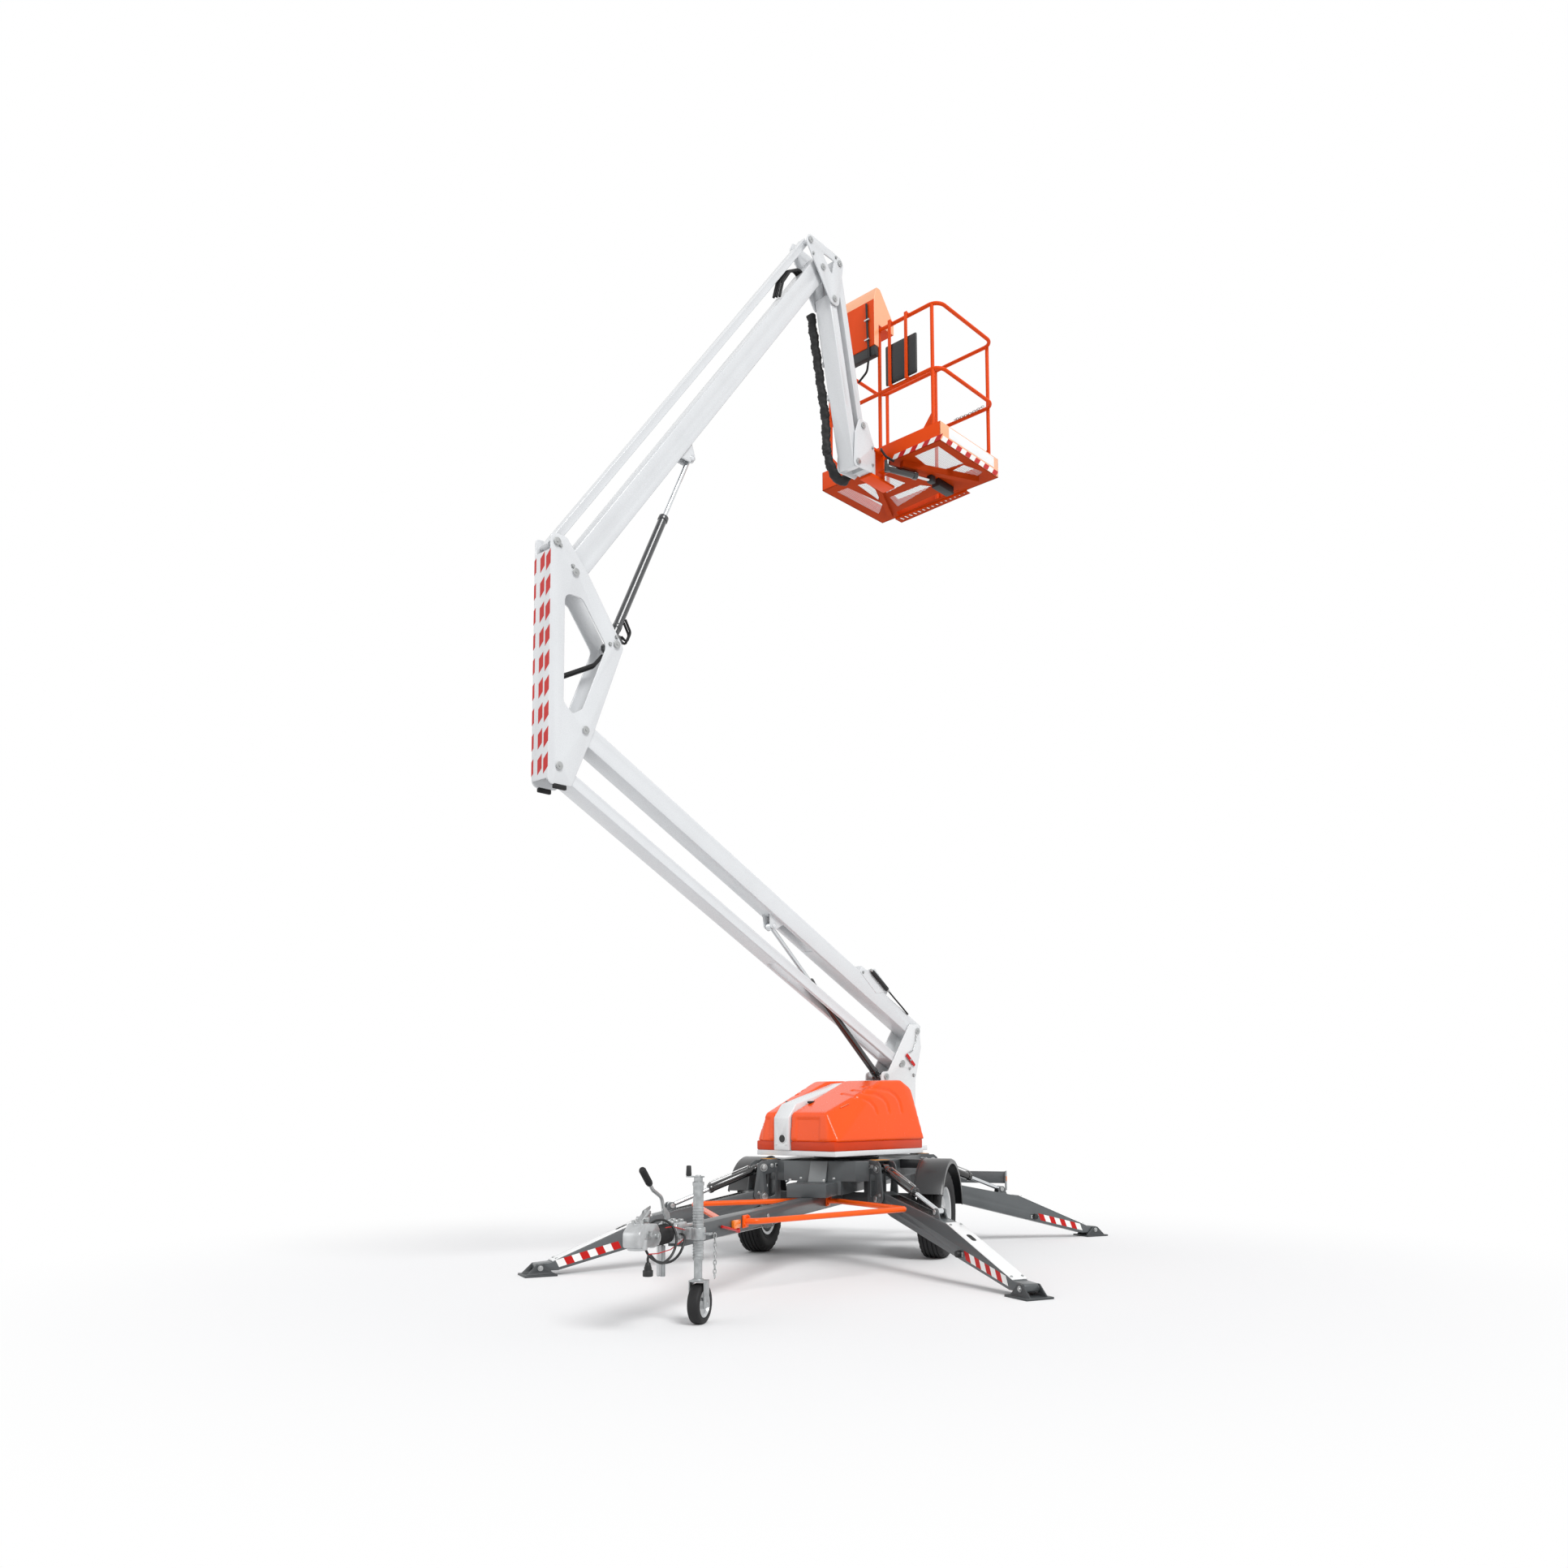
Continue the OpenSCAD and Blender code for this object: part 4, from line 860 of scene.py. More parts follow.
def cover(name, far, panels):
    """One cover, from x 0.071 out to far, for the right side of the machine."""
    rings = [(0.792, -0.671, 0.296, far), (0.975, -0.655, 0.262, far - 0.030)]
    corners_made = []
    for x, y, z in ((0.071, -0.671, 0.792), (far - 0.072, -0.671, 0.792), (far, -0.640, 0.792),
                    (far, 0.294, 0.792), (0.086, 0.294, 0.792), (0.071, 0.276, 0.792),
                    (0.071, -0.655, 0.975), (far - 0.090, -0.655, 0.975), (0.071, -0.640, 0.986),
                    (far - 0.090, -0.640, 0.986), (0.071, -0.110, 1.198), (far - 0.050, -0.110, 1.198),
                    (0.071, 0.100, 1.202), (far - 0.050, 0.100, 1.202), (0.071, 0.200, 1.152),
                    (far - 0.050, 0.200, 1.152), (0.071, 0.217, 1.122), (far - 0.050, 0.217, 1.122)):
        corners_made.append((x, y, z))
    bm = bmesh.new()
    for spot in corners_made:
        bm.verts.new(spot)
    hull = bmesh.ops.convex_hull(bm, input=bm.verts)
    bmesh.ops.delete(bm, geom=hull["geom_interior"] + hull["geom_unused"], context="VERTS")
    bmesh.ops.dissolve_limit(bm, angle_limit=math.radians(1), verts=bm.verts, edges=bm.edges)
    raw = bpy.data.meshes.new(name + "_raw")
    bm.to_mesh(raw)
    bm.free()
    holder = bpy.data.objects.new(name + "_raw", raw)
    bpy.context.scene.collection.objects.link(holder)
    grid = holder.modifiers.new("grid", "REMESH")
    grid.mode = "VOXEL"
    grid.voxel_size = 0.0085
    made = bpy.data.meshes.new_from_object(
        holder.evaluated_get(bpy.context.evaluated_depsgraph_get()))
    bpy.data.objects.remove(holder)
    bm = bmesh.new()
    bm.from_mesh(made)
    for _ in range(7):
        bmesh.ops.smooth_vert(bm, verts=bm.verts, factor=0.5, use_axis_x=True, use_axis_y=True,
                              use_axis_z=True)
    scale = (far - 0.069) / 0.395
    lines = [[Vector((0.069 + (x - 0.069) * scale, y, z)) for x, y, z in line] for line in rib_lines]
    bm.normal_update()
    for vert in bm.verts:
        ways = vert.normal
        if vert.co.x > 0.100 and vert.co.z > 0.93:
            depth = min(beside(vert.co, line) for line in lines)
            sunk = 1 - min(1, max(0, (depth - 0.006) / 0.010))
            vert.co -= ways * 0.0065 * sunk
        if vert.co.y < -0.64:
            for x0, x1 in panels:
                inside = min(vert.co.x - x0, x1 - vert.co.x, vert.co.z - 0.800, 0.950 - vert.co.z)
                vert.co.y += 0.005 * min(1, max(0, inside / 0.009))
    return bm


bm = cover("cover_right", 0.464, ((0.120, 0.330),))
settle(bm, "cover_right", [hood_orange], "turret", upper, ("hood_right",), sharp=60)
bm = cover("cover_left", 0.250, ((0.110, 0.215),))
bmesh.ops.scale(bm, vec=(-1, 1, 1), verts=bm.verts)
settle(bm, "cover_left", [hood_orange], "turret", upper, ("hood_left",), sharp=60)
for name, near, far in (("right", 0.072, 0.452), ("left", -0.238, -0.072)):
    bm = bmesh.new()
    block(bm, (near, -0.660, 0.734), (far, 0.282, 0.796), 0.008)
    settle(bm, "cover_lip_" + name, [lip_orange], "turret", upper)
# Painted highlight: this pale orange sheet on the front of the right cover's top slope stands for glare on
# the gloss paint.
bm = bmesh.new()
panel = [(0.202, -0.481), (0.250, -0.372), (0.410, -0.453), (0.400, -0.533)]
posts = [bm.verts.new((x, y, 1.196 + 0.398 * (y + 0.110) + 0.0012 - max(0, x - 0.37) * 0.5))
         for x, y in panel]
face = bm.faces.new(posts)
bmesh.ops.solidify(bm, geom=[face], thickness=0.002)
settle(bm, "cover_painted_glare", [painted_light_pale], "turret", upper)
bm = bmesh.new()
for x in (0.100, -0.100):
    for y, z in ((-0.481, 1.049), (0.130, 1.190)):
        block(bm, (x - 0.014, y - 0.030, z - 0.006), (x + 0.014, y + 0.030, z + 0.010), 0.004)
settle(bm, "cover_latches", [soft_black], "turret", upper)

# Lower boom
# A folded white box beam with a parallel link under it. Near its foot a valve sits in a bracket on
# its right face, and a black cylinder between the two lifts them.
boom_white = finish("boom_white", tone(214, 216, 218), 0.28, coat=0.3, mottle=0.02)
dressed("lower_boom", boom_white, 0.006)
dressed("lower_link", boom_white, 0.005)
for node, coat in (("lower_barrel", jack_black), ("lower_rod", chrome), ("upper_rod", chrome)):
    frame["nodes"][node].data.materials.clear()
    frame["nodes"][node].data.materials.append(coat)
bm = bmesh.new()
cut_plate(bm, [(0.079, 1.984, 0.012), (0.256, 2.011, 0.012), (0.436, 1.862, 0.012),
               (0.272, 1.832, 0.012)], 0.062, 0.066, 0.001)
valve_low, valve_top = Vector((0.078, 0.381, 1.868)), Vector((0.078, 0.212, 1.985))
rod(bm, valve_low, valve_top, 0.016, edge=0.003, coat=1)
rod(bm, valve_low, valve_low - (valve_top - valve_low) * 0.12, 0.009, edge=0.002, coat=2)
rod(bm, valve_top, valve_top + (valve_top - valve_low) * 0.12, 0.009, edge=0.002, coat=2)
for y, z in ((0.120, 1.975), (0.395, 1.862)):
    hexagon(bm, (0.066, y, z), (1, 0, 0), 0.014, coat=2)
settle(bm, "boom_valve", [boom_white, soft_black, zinc], "lower_boom", upper)
valve_hose = round_path([(0.078, 0.401, 1.854), (0.078, 0.470, 1.806), (0.072, 0.560, 1.752),
                         (0.069, 0.639, 1.700)], 0.05)
pipes("boom_valve_hose", [valve_hose], 0.006, [rubber], "lower_boom", upper, sides=3)
lower_eye = Vector((-0.776, 2.222))
barrel_way = (lower_eye - lower_base).normalized()
bm = bmesh.new()
for run in (0.955, 0.045):
    spot = lower_base + barrel_way * run
    end = spot + barrel_way * 0.030
    rod(bm, (0, spot.x, spot.y), (0, end.x, end.y), 0.0295, edge=0.003)
settle(bm, "lower_barrel_collars", [jack_black], "lower_barrel", upper)

# Upright
# Two windowed white cheeks joined by a rear plate, which carries the upper booms on the lower
# ones. Columns of slanted red stripes run down its rear face.
dressed("upright", boom_white, 0.003)
upper_foot, upper_tip = Vector((-2.496, 4.100)), Vector((-0.296, 7.088))
upper_pair = Vector((-0.135, 0.140))
upper_base, upper_eye = Vector((-2.186, 3.754)), Vector((-1.539, 5.175))
bm = bmesh.new()
for x_low, x_high in ((-0.076, -0.058), (-0.019, 0.020), (0.035, 0.076)):
    for k in range(9):
        low = 2.888 + 0.1475 * k
        rise = 0.86 * (x_high - x_low)
        posts = [bm.verts.new((x, -2.6718, z)) for x, z in (
            (x_low, low), (x_high, low + rise), (x_high, low + rise + 0.085), (x_low, low + 0.085))]
        face = bm.faces.new(posts)
        made = bmesh.ops.extrude_face_region(bm, geom=[face])["geom"]
        bmesh.ops.translate(bm, vec=(0, -0.0009, 0),
                            verts=[g for g in made if isinstance(g, bmesh.types.BMVert)])
settle(bm, "upright_stripes", [tape_red], "upright", upper)
bm = bmesh.new()
for side in (-1, 1):
    near, far = sorted((side * 0.0755, side * 0.0795))
    cut_plate(bm, [(-2.658, 4.264, 0.004), (-2.640, 4.286, 0.015), (-2.566, 4.286, 0.035),
                   (-2.405, 4.116, 0.04), (-2.342, 4.030, 0.01), (-2.360, 3.948, 0.02)],
              near, far, 0.001)
    cut_plate(bm, [(-2.664, 3.120, 0.01), (-2.560, 3.120, 0.01), (-2.330, 3.235, 0.02),
                   (-2.380, 3.110, 0.02), (-2.470, 2.930, 0.02), (-2.664, 2.900, 0.01)],
              near, far, 0.001)
settle(bm, "upright_doublers", [boom_white], "upright", upper)
bm = bmesh.new()
pin_ends(bm, (lower_tip, lower_tip + lower_pair, upper_foot, upper_foot + upper_pair, upper_base),
         0.0825, 0.018)
for y, z in ((-2.627, 4.252), (-2.604, 4.225), (-2.515, 4.132), (-2.488, 4.097), (-2.186, 3.800),
             (-2.234, 3.745)):
    for side in (-1, 1):
        hexagon(bm, (side * 0.0765, y, z), (side, 0, 0), 0.018)
settle(bm, "upright_pins", [zinc], "upright", upper)
bm = bmesh.new()
for side in (-1, 1):
    low, high = sorted((side * 0.060, side * 0.082))
    block(bm, (low, -2.630, 2.808), (high, -2.540, 2.836), 0.006)
settle(bm, "upright_buffer", [rubber], "upright", upper)
hose = round_path([(0.012, -2.655, 3.440), (0.012, -2.506, 3.509), (0.012, -2.300, 3.620),
                   (0.012, -2.240, 3.690)], 0.08)
pipes("upright_hose", [hose, [(x - 0.022, y + 0.006, z - 0.012) for x, y, z in hose]], 0.009,
      [rubber], "upright", upper, sides=3)

# Upper boom
# A white box beam with a slim parallel link over it, lifted by a dark grey cylinder whose foot is
# between the cheeks of the upright.
dressed("upper_boom", boom_white, 0.006)
dressed("upper_link", boom_white, 0.004)
barrel_grey = finish("barrel_grey", tone(52, 54, 56), 0.22, coat=0.6, mottle=0.04)
frame["nodes"]["upper_barrel"].data.materials.clear()
frame["nodes"]["upper_barrel"].data.materials.append(barrel_grey)
lift_way = (upper_eye - upper_base).normalized()
bm = bmesh.new()
for run, thick in ((1.025, 0.0325), (0.060, 0.032), (0.140, 0.0305)):
    spot = upper_base + lift_way * run
    end = spot + lift_way * 0.034
    rod(bm, (0, spot.x, spot.y), (0, end.x, end.y), thick, edge=0.004)
block(bm, (-0.016, upper_base.x + 0.048, upper_base.y + 0.040),
      (0.016, upper_base.x + 0.100, upper_base.y + 0.095), 0.006)
settle(bm, "upper_barrel_collars", [barrel_grey], "upper_barrel", upper)
feed = round_path([(0.0, upper_base.x + 0.090, upper_base.y + 0.075),
                   (0.0, upper_base.x + 0.130, upper_base.y + 0.050),
                   (0.0, upper_base.x + 0.160, upper_base.y + 0.120),
                   (0.0, upper_base.x + 0.118, upper_base.y + 0.190)], 0.03)
pipes("upper_barrel_hoses", [feed, [(x + 0.016, y, z + 0.014) for x, y, z in feed]], 0.0075,
      [rubber], "upper_barrel", upper, sides=3)
boom_frame = boom_line(upper_foot, upper_tip)
bm = bmesh.new()
for side in (-1, 1):
    near, far = sorted((side * 0.0495, side * 0.0545))
    cut_plate(bm, [(3.570, -0.070, 0.01), (3.745, -0.070, 0.03), (3.745, 0.070, 0.03),
                   (3.640, 0.070, 0.01)], near, far, 0.001)
    cut_plate(bm, [(-0.040, -0.070, 0.03), (0.150, -0.070, 0.01), (0.110, 0.070, 0.01),
                   (-0.040, 0.070, 0.03)], near, far, 0.001)
settle(bm, "upper_boom_doublers", [boom_white], "upper_boom", upper @ boom_frame)

# Head
# Two white plates with a kite-shaped window hold the tips of the upper boom and its link and the
# feet of the jib.
dressed("head", boom_white, 0.003)
jib_foot, jib_tip = Vector((-0.168, 6.908)), Vector((0.090, 5.765))
jib_pair = Vector((0.060, 0.300))
bm = bmesh.new()
pin_ends(bm, (upper_tip, upper_tip + upper_pair, jib_foot, jib_foot + jib_pair), 0.0885, 0.017)
for y, z in ((-0.400, 7.140), (-0.150, 7.235)):
    for side in (-1, 1):
        hexagon(bm, (side * 0.084, y, z), (side, 0, 0), 0.016)
settle(bm, "head_pins", [zinc], "head", upper)
bundle = round_path([(0.0, -0.700, 6.700), (0.0, -0.665, 6.826), (0.0, -0.590, 6.942),
                     (0.0, -0.491, 7.006), (0.0, -0.430, 6.975)], 0.05)
pipes("boom_end_hoses", [[(x + dx, y + dy, z) for x, y, z in bundle]
                         for dx, dy in ((0, 0), (0.020, 0.010), (-0.020, -0.008))],
      0.010, [rubber], "upper_boom", upper, sides=3)

# Jib
# Two parallel white box beams hang from the head and carry the platform. A black fabric sleeve
# with its hoses runs down their left side and loops round below the carrier.
dressed("jib", boom_white, 0.006)
dressed("jib_link", boom_white, 0.005)
sleeve_cloth = finish("sleeve_cloth", tone(24, 24, 25), 0.7, grain=420.0, dent=0.35, mottle=0.2,
                      cloud=14.0, specular=0.45)
sleeve_route = [(-0.126, -0.190, 6.860), (-0.126, -0.030, 6.120), (-0.126, -0.020, 5.870),
                (-0.126, 0.060, 5.716), (-0.126, 0.170, 5.706), (-0.126, 0.230, 5.780)]
route = round_path(sleeve_route, 0.10, 12)
spaced = []
for a, b in zip(route, route[1:]):
    parts = max(1, round((b - a).length / 0.008))
    spaced += [a.lerp(b, k / parts) for k in range(parts)]
spaced.append(route[-1])
line = bpy.data.curves.new("sleeve_line", "CURVE")
line.dimensions = "3D"
line.bevel_depth = 0.033
line.bevel_resolution = 10
line.use_fill_caps = True
spline = line.splines.new("POLY")
spline.points.add(len(spaced) - 1)
for knot, point in zip(spline.points, spaced):
    knot.co = (*point, 1)
holder = bpy.data.objects.new("sleeve_line", line)
bm = bmesh.new()
bm.from_mesh(bpy.data.meshes.new_from_object(holder))
bpy.data.objects.remove(holder)
bmesh.ops.remove_doubles(bm, verts=bm.verts, dist=0.00001)
bm.normal_update()
for vert in bm.verts:
    x, y, z = vert.co
    run = z * 1.0 - y * 0.4
    fold = 0.0035 * math.sin(run * 46 + 2.2 * math.sin(x * 60 + y * 9)) \
        + 0.0022 * math.sin(run * 113 + x * 95) + 0.0015 * math.sin(run * 240 - y * 70)
    vert.co += vert.normal * (fold - 0.001)
    if z < 5.80:
        vert.co += vert.normal * 0.0035
sleeve = settle(bm, "jib_sleeve", [sleeve_cloth], "jib", upper, ("hose_sleeve",), sharp=70)

# Carrier
# The white forked casting at the jib's foot, with the upright pivot on which the platform swings.
dressed("carrier", boom_white, 0.003)
bm = bmesh.new()
pin_ends(bm, (jib_tip, jib_tip + jib_pair), 0.0895, 0.017)
for side in (-1, 1):
    for y, z in ((0.262, 5.800), (0.262, 5.935)):
        hexagon(bm, (side * 0.084, y, z), (side, 0, 0), 0.016)
settle(bm, "carrier_pins", [zinc], "carrier", upper)

# Platform
# An open welded basket that hangs from the swivel bracket. Its sheet floor has six windows filled
# with galvanised diamond mesh, toe boards stand all round it, and a bent tube forms each rail.
deck = Vector((0, 0.448, 5.892))
half, depth, board = 0.5725, 0.769, 0.150
far = deck.y + depth
platform_paint = finish("platform_orange", tone(226, 72, 2), 0.4, mottle=0.04, specular=0.15)
# A darker copy of the platform orange: painted shade for the floor plate, its ribs and the step, which are
# seen from below.
underside_painted_shade = finish("platform_underside_painted_shade", tone(172, 54, 2), 0.6, mottle=0.08, specular=0.08)
mesh_steel = finish("galvanised_mesh", tone(196, 199, 201), 0.4, metallic=0.55, mottle=0.06)


def deck_plate(bm, outline, windows, low, high, coat=0):
    """A level plate with windows cut through it."""
    rims = []
    for ring in [outline] + windows:
        posts = [bm.verts.new((x, y, low)) for x, y in ring]
        rims += [bm.edges.new(pair) for pair in zip(posts, posts[1:] + posts[:1])]
    made = bmesh.ops.triangle_fill(bm, edges=rims, use_beauty=True, use_dissolve=False)["geom"]
    flats = [g for g in made if isinstance(g, bmesh.types.BMFace)]
    for flat in flats:
        flat.material_index = coat
    grown = bmesh.ops.extrude_face_region(bm, geom=flats)["geom"]
    bmesh.ops.translate(bm, vec=(0, 0, high - low),
                        verts=[g for g in grown if isinstance(g, bmesh.types.BMVert)])


def strands(bm, window, z, pitch, lean):
    """Two families of crossing strands, cut off at the sides of a window."""
    spots = [Vector(p) for p in window]
    for side in (-1, 1):
        across = Vector((-side * math.sin(lean), math.cos(lean)))
        runs = [p.dot(across) for p in spots]
        for step in range(math.ceil(min(runs) / pitch), math.floor(max(runs) / pitch) + 1):
            at = step * pitch
            ends = []
            for a, b, low, high in zip(spots, spots[1:] + spots[:1], runs, runs[1:] + runs[:1]):
                if (low < at) != (high < at):
                    ends.append(a.lerp(b, (at - low) / (high - low)))
            if len(ends) == 2 and (ends[0] - ends[1]).length > 0.006:
                rod(bm, (*ends[0], z + side * 0.0008), (*ends[1], z + side * 0.0008), 0.0017, sides=4)


windows = [[(0.292, 0.508), (0.508, 0.509), (0.499, 0.852), (0.256, 0.824)],
           [(0.487, 0.869), (0.535, 1.054), (0.423, 1.109), (0.324, 0.888)],
           [(-0.154, 0.589), (-0.053, 0.596), (-0.009, 0.797), (-0.220, 0.827)],
           [(-0.246, 0.895), (0.056, 0.902), (0.106, 0.978), (-0.298, 1.068)],
           [(-0.497, 0.539), (-0.392, 0.546), (-0.357, 0.949), (-0.492, 1.066)],
           [(-0.309, 0.563), (-0.232, 0.589), (-0.262, 0.800), (-0.343, 0.870)]]
gate = [(-0.364, 1.136), (0.079, 1.105), (0.237, 1.175), (-0.383, 1.198)]
bm = bmesh.new()
# The floor plate, its ribs and the step take the darker orange, painted shade for their underside.
deck_plate(bm, [(-half, deck.y), (half, deck.y), (half, far), (-half, far)], windows + [gate],
           deck.z, deck.z + 0.005, 1)
for start, end, wide, deep in (((0.170, 0.508), (0.455, 1.103), 0.050, 0.046),
                               ((-0.110, 0.508), (-0.430, 1.148), 0.040, 0.030)):
    start, end = Vector(start), Vector(end)
    aside = (end - start).orthogonal().normalized() * (wide / 2)
    deck_plate(bm, [start - aside, end - aside, end + aside, start + aside], [],
               deck.z - deep, deck.z + 0.001, 1)
top = deck.z + board
block(bm, (-half, deck.y, deck.z), (half, deck.y + 0.005, top), 0.001)
block(bm, (-half, far - 0.005, deck.z), (half, far, top), 0.001)
block(bm, (-half, deck.y, deck.z), (-half + 0.005, far, top), 0.001)
# The right toe board takes the pale orange, painted light on its lit face.
block(bm, (half - 0.005, deck.y, deck.z), (half, far, top), 0.001, 2)
slots = [[(k, 1.225), (k + 0.016, 1.225), (k + 0.026, 1.250 - 0.05 * k), (k + 0.010, 1.250 - 0.05 * k)]
         for k in (-0.400 + 0.045 * n for n in range(15))]
deck_plate(bm, [(-0.434, far - 0.002), (0.281, far - 0.002), (0.281, 1.261), (-0.434, 1.300)], slots,
           deck.z - 0.012, deck.z - 0.008, 1)
block(bm, (-0.434, far - 0.004, deck.z - 0.012), (0.281, far, deck.z + 0.010), 0.0)
settle(bm, "platform_tray", [platform_paint, underside_painted_shade, painted_light_pale], "platform", upper, ("platform_floor",))
bm = bmesh.new()
for window in windows:
    strands(bm, window, deck.z + 0.0022, 0.0164, math.atan2(0.018, 0.040))
settle(bm, "platform_mesh", [mesh_steel], "platform", upper)

# Toe board markings
# Foil stuck along the foot of the near board and on the right one, whose blank white plate is
# riveted on above the foil.
turned = upper @ Matrix.Rotation(math.radians(-90), 4, "Z")
bm = bmesh.new()
tape_run(bm, 0.120, half - 0.004, deck.z + 0.004, deck.z + 0.042, 8, 0.0006 - deck.y, -deck.y, 0.030,
         lambda along, up: (along, up))
bmesh.ops.scale(bm, vec=(-1, 1, 1), verts=bm.verts)
bmesh.ops.rotate(bm, cent=(0, 0, 0), matrix=Matrix.Rotation(math.radians(90), 3, "Z"), verts=bm.verts)
bmesh.ops.scale(bm, vec=(-1, 1, 1), verts=bm.verts)
low_y = min(v.co.y for v in bm.verts)
bmesh.ops.translate(bm, vec=(0, deck.y - 0.0006 - low_y, 0), verts=bm.verts)
settle(bm, "near_board_tape", [tape_white, tape_red], "platform", upper)
bm = bmesh.new()
tape_run(bm, deck.y + 0.010, far - 0.030, deck.z + 0.004, deck.z + 0.048, 12, half, half + 0.0006,
         0.030, lambda along, up: (along, up))
settle(bm, "end_board_tape", [tape_white, tape_red], "platform", upper)
bm = bmesh.new()
block(bm, (half, deck.y + 0.110, deck.z + 0.060), (half + 0.0012, far - 0.060, deck.z + 0.142), 0.0004)
settle(bm, "end_board_plate", [white_plate_and_painted_reflection], "platform", upper)

# Platform rails
# Bent round tube at hip and knee height on six posts, with a folded gusset at the foot of each
# corner post.
x, near, back = half - 0.015, deck.y + 0.015, far - 0.015
hoops = []
for z in (deck.z + 1.099, deck.z + 0.590):
    ring = [(0, near, z), (x, near, z), (x, back, z), (-x, back, z), (-x, near, z), (0, near, z)]
    hoops.append(round_path(ring, 0.085, 8)[:-1])
pipes("platform_hoops", hoops, 0.0145, [platform_paint], "platform", upper, ("platform_rails",),
      closed=True, sides=4)
bm = bmesh.new()
for post in (-0.4975, 0, 0.4975):
    for y in (near + 0.005, back + 0.002):
        rod(bm, (post, y, deck.z + 0.010), (post, y, deck.z + 1.099), 0.0142, sides=20)
        block(bm, (post - 0.020, y - 0.004, deck.z + 0.004), (post + 0.020, y + 0.004, deck.z + 0.050),
              0.001)
for side in (-1, 1):
    for y in (near + 0.002, back - 0.002):
        posts = [bm.verts.new((side * 0.4975 - side * run, y, deck.z + up))
                 for run, up in ((0, 0.140), (0.110, 0.140), (0.085, 0.165), (0.012, 0.255), (0, 0.262))]
        flat = bm.faces.new(posts)
        made = bmesh.ops.extrude_face_region(bm, geom=[flat])["geom"]
        bmesh.ops.translate(bm, vec=(0, 0.004, 0),
                            verts=[g for g in made if isinstance(g, bmesh.types.BMVert)])
for bar_x in (0.135, 0.290):
    block(bm, (bar_x - 0.014, near - 0.047, deck.z + 0.580), (bar_x + 0.014, near - 0.041, deck.z + 1.108),
          0.001)
    for z in (deck.z + 0.584, deck.z + 1.092):
        block(bm, (bar_x - 0.012, near - 0.043, z), (bar_x + 0.012, near - 0.006, z + 0.012), 0.001)
settle(bm, "platform_posts", [platform_paint], "platform", upper)
chain("rail_chain", [(0.200, back - 0.016, deck.z + 0.604), (0.330, back - 0.018, deck.z + 0.598),
                     (0.460, back - 0.016, deck.z + 0.610)], "platform", upper, zinc, 0.0022, 0.020)

# Back pad
# A black vinyl pad on the outside of the near rail, screwed to two flat bars.
bm = bmesh.new()
block(bm, (0.085, 0.4235, 6.492), (0.378, 0.4475, 6.808), 0.011)
bmesh.ops.subdivide_edges(bm, edges=[e for e in bm.edges if e.calc_length() > 0.1], cuts=9,
                          use_grid_fill=True)
for vert in bm.verts:
    u = (vert.co.x - 0.2315) / 0.1465
    w = (vert.co.z - 6.650) / 0.158
    crown = max(0.0, 1 - u * u) * max(0.0, 1 - w * w)
    if vert.co.y < 0.4355:
        vert.co.y += 0.004 * (1 - crown) - 0.0005
pad = settle(bm, "back_pad", [soft_black], "platform", upper, ("pad",), sharp=60)

# Control box
# A folded steel box on the near rail that houses the upper controls. A conduit runs down its
# right side.
box = bm = bmesh.new()
cut_plate(bm, [(0.395, 6.850, 0.006), (0.395, 7.220), (0.425, 7.328, 0.012), (0.470, 7.328, 0.020),
               (0.640, 7.120, 0.020), (0.640, 7.030, 0.006), (0.450, 7.030), (0.450, 6.850)],
          -0.330, 0.010, 0.003)
box = settle(bm, "control_housing", [platform_paint, painted_light_pale], "platform", upper, ("control_box",))
# Faces turned to the right, towards the key lamp, or upward take the pale orange: painted light on the
# housing's lit faces.
painted_light_side = upper.to_3x3() @ Vector((1, 0, 0))
for face in box.data.polygons:
    if face.normal.dot(painted_light_side) > 0.5 or face.normal.z > 0.2:
        face.material_index = 1
bm = bmesh.new()
block(bm, (-0.327, 0.400, 6.770), (0.007, 0.446, 6.852), 0.006)
settle(bm, "control_box_foot", [soft_black], "platform", upper)
conduit = round_path([(-0.060, 0.386, 7.200), (-0.052, 0.386, 6.960), (-0.040, 0.386, 6.760),
                      (-0.070, 0.400, 6.660), (-0.160, 0.405, 6.610)], 0.06)
pipes("control_conduit", [conduit], 0.0085, [rubber], "platform", upper, sides=3)
bm = bmesh.new()
for z in (7.060, 6.900):
    block(bm, (-0.078, 0.377, z), (-0.032, 0.396, z + 0.012), 0.002)
settle(bm, "conduit_clips", [zinc], "platform", upper)

# Swivel
# The orange bracket that turns on the carrier, with the short cylinder that swings the platform.
dressed("swivel_bracket", platform_paint, 0.002)
bm = bmesh.new()
rod(bm, (0.127, 0.385, 5.812), (0.212, 0.630, 5.812), 0.028, edge=0.004)
rod(bm, (0.127, 0.385, 5.780), (0.127, 0.385, 5.870), 0.022, edge=0.003)
rod(bm, (0.203, 0.604, 5.812), (0.214, 0.636, 5.812), 0.031, edge=0.003)
settle(bm, "swivel_cylinder", [jack_black], "platform", upper)
bm = bmesh.new()
rod(bm, (0.206, 0.624, 5.812), (0.252, 0.760, 5.812), 0.012)
settle(bm, "swivel_rod", [chrome], "platform", upper)
bm = bmesh.new()
block(bm, (0.230, 0.745, 5.795), (0.276, 0.800, 5.850), 0.004)
block(bm, (0.165, 0.900, 5.830), (0.235, 1.100, 5.892), 0.004)
settle(bm, "swivel_clevis", [soft_black], "platform", upper)
hose = round_path([(0.060, 0.400, 5.990), (0.085, 0.372, 5.960), (0.122, 0.376, 5.900),
                   (0.150, 0.440, 5.876)], 0.03)
pipes("swivel_hose", [hose], 0.009, [rubber], "platform", upper, sides=3)

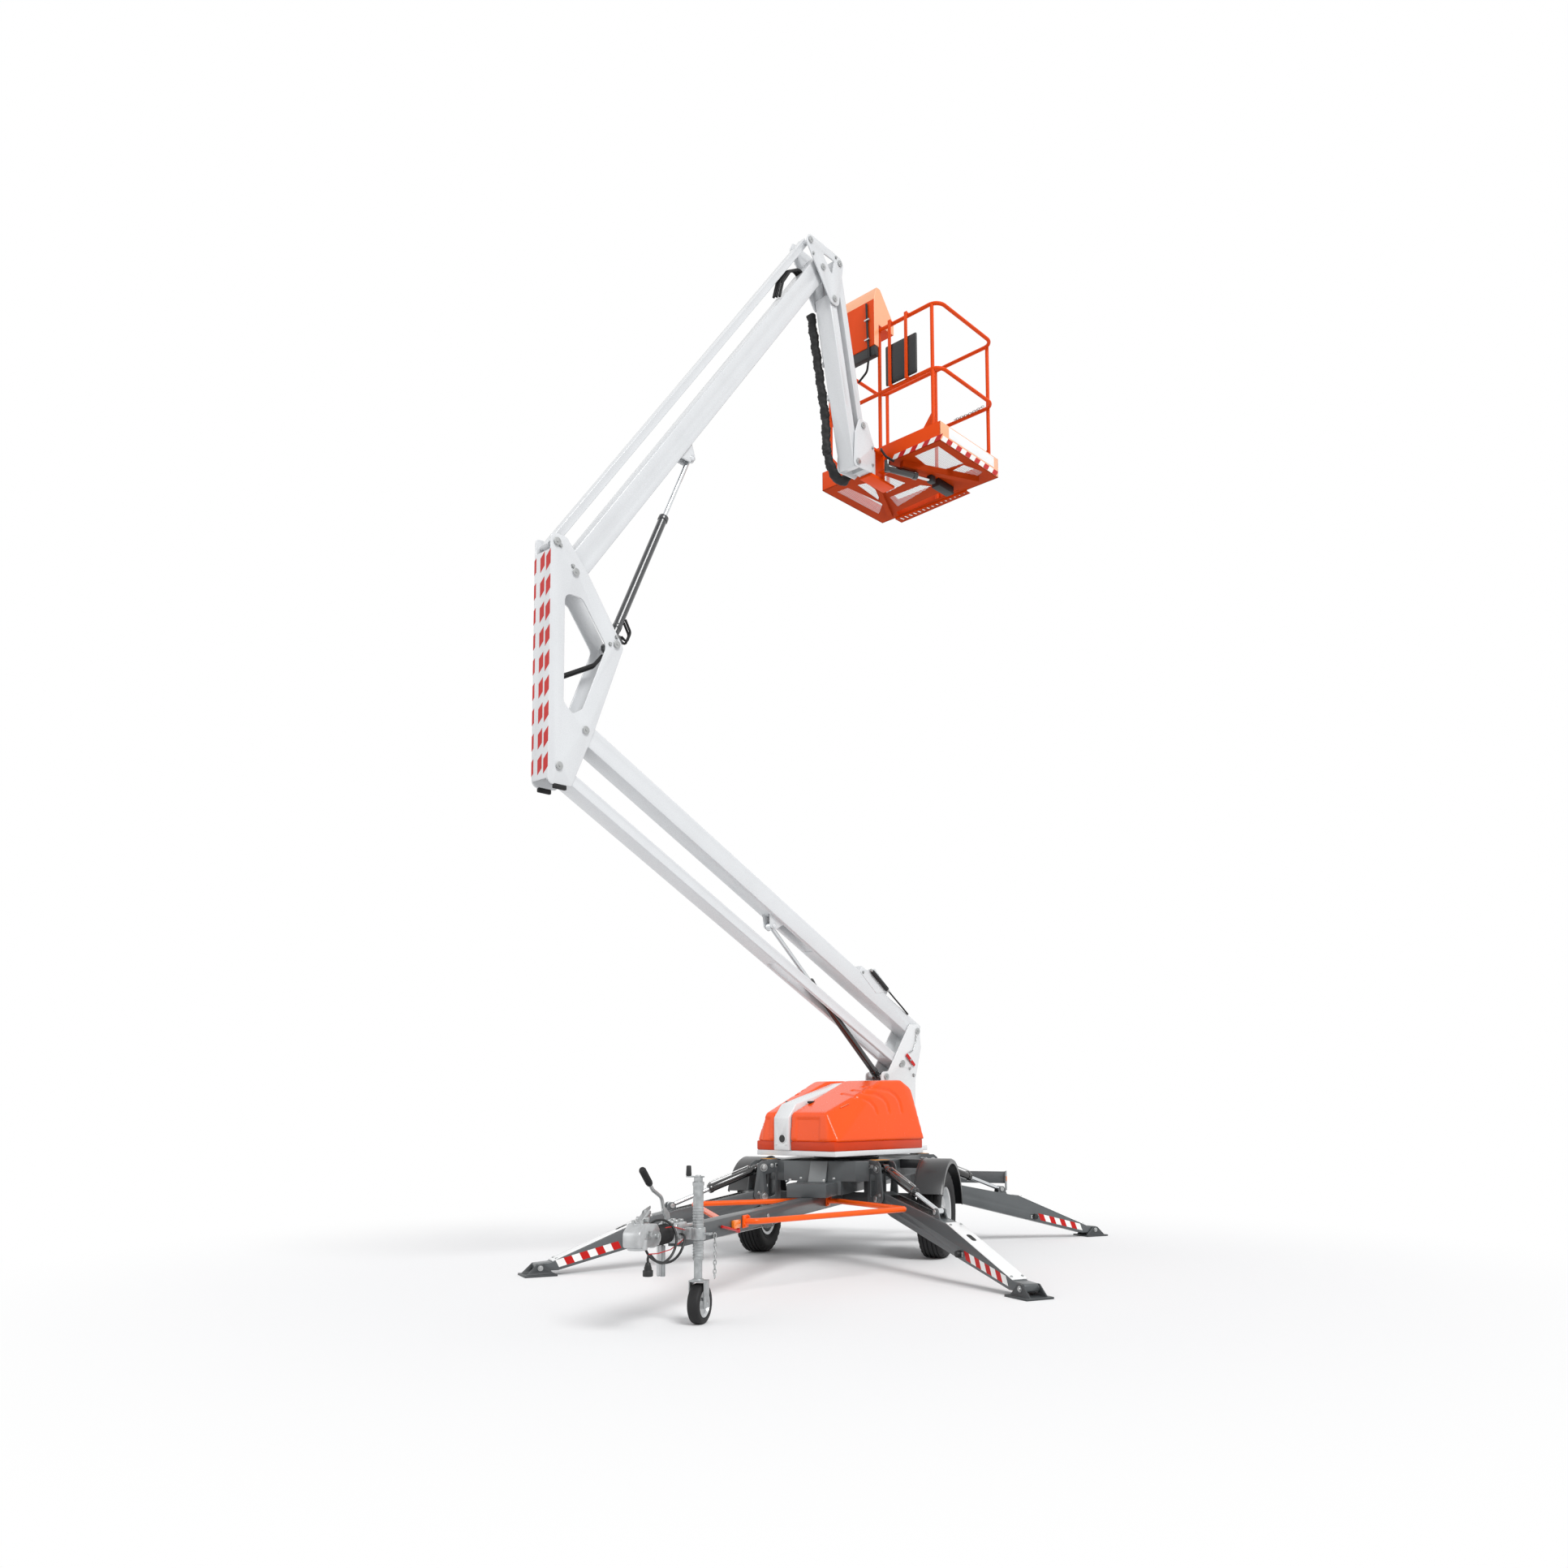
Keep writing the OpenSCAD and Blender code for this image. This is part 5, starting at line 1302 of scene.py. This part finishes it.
# Trailer lead
# The black cable for the road lamps. It leaves the drawbar, hangs below it in a loop and ends in
# a plug that hangs free.
lead_points = [(0.048, -3.030, 0.425), (0.070, -3.032, 0.425), (0.090, -3.060, 0.405),
               (0.084, -3.095, 0.350), (0.045, -3.100, 0.310), (-0.010, -3.105, 0.300),
               (-0.066, -3.110, 0.326), (-0.095, -3.115, 0.390), (-0.080, -3.120, 0.455),
               (-0.030, -3.128, 0.496), (0.030, -3.136, 0.496), (0.076, -3.146, 0.460),
               (0.092, -3.160, 0.405), (0.084, -3.190, 0.350), (0.064, -3.240, 0.318),
               (0.050, -3.290, 0.330), (0.038, -3.330, 0.362), (0.034, -3.344, 0.350),
               (0.034, -3.344, 0.330)]
cable_black = finish("cable_black", tone(22, 23, 24), 0.45, coat=0.1, mottle=0.05)
knots = [machine @ Vector(p) for p in lead_points]
smooth_run = []
for k in range(len(knots) - 1):
    a, b, c, d = (knots[max(k - 1, 0)], knots[k], knots[k + 1], knots[min(k + 2, len(knots) - 1)])
    for step in range(8):
        t = step / 8
        smooth_run.append(b + ((c - a) * t + (2 * a - 5 * b + 4 * c - d) * t ** 2
                               + (3 * b - a - 3 * c + d) * t ** 3) / 2)
smooth_run.append(knots[-1])
curve = bpy.data.curves.new("trailer_cable", "CURVE")
curve.dimensions = "3D"
curve.bevel_depth = 0.006
curve.bevel_resolution = 5
curve.use_fill_caps = True
line = curve.splines.new("POLY")
line.points.add(len(smooth_run) - 1)
for knot, point in zip(line.points, smooth_run):
    knot.co = (*point, 1)
curve.materials.append(cable_black)
cable = bpy.data.objects.new("trailer_cable", curve)
bpy.context.scene.collection.objects.link(cable)
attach(cable, "chassis")
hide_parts("trailer_lead")
bm = bmesh.new()
rod(bm, (0.034, -3.344, 0.268), (0.034, -3.344, 0.296), 0.0235, edge=0.003)
rod(bm, (0.034, -3.344, 0.294), (0.034, -3.344, 0.330), 0.019, 0.0105, edge=0.002)
for k in range(4):
    rod(bm, (0.034, -3.344, 0.304 + 0.005 * k), (0.034, -3.344, 0.3065 + 0.005 * k),
        0.0182 - 0.0016 * k, sides=20)
plug = settle(bm, "cable_plug", [soft_black], "chassis", machine, ("trailer_plug",))

# Drawbar fittings
# The safety chain, the thin red breakaway cable and a small red lever on the right side of the drawbar, and a
# galvanised stay on its left. The orange marker beside the lever is drawn with the side guards.
chain("safety_chain", [(0.052, -2.585, 0.375), (0.054, -2.588, 0.300), (0.052, -2.590, 0.169)],
      "chassis", machine, zinc, 0.0028, 0.022)
breakaway = round_path([(0.060, -3.212, 0.473), (0.060, -3.130, 0.471), (0.060, -2.947, 0.435),
                        (0.060, -3.009, 0.397), (0.060, -3.153, 0.368), (0.060, -3.291, 0.365),
                        (0.060, -3.390, 0.373)], 0.03)
pipes("breakaway_cable", [breakaway], 0.0025, [safety_red], "chassis", machine, sides=2)
bm = bmesh.new()
rod(bm, (0.052, -2.493, 0.413), (0.054, -2.256, 0.370), 0.007, sides=16, edge=0.002)
rod(bm, (0.040, -2.256, 0.372), (0.060, -2.256, 0.372), 0.012, sides=20, edge=0.002)
settle(bm, "drawbar_lever", [safety_red], "chassis", machine)
bm = bmesh.new()
rod(bm, (-0.050, -3.002, 0.368), (-0.050, -3.000, 0.222), 0.014, sides=20, edge=0.002)
settle(bm, "prop_stay", [galvanised], "chassis", machine)
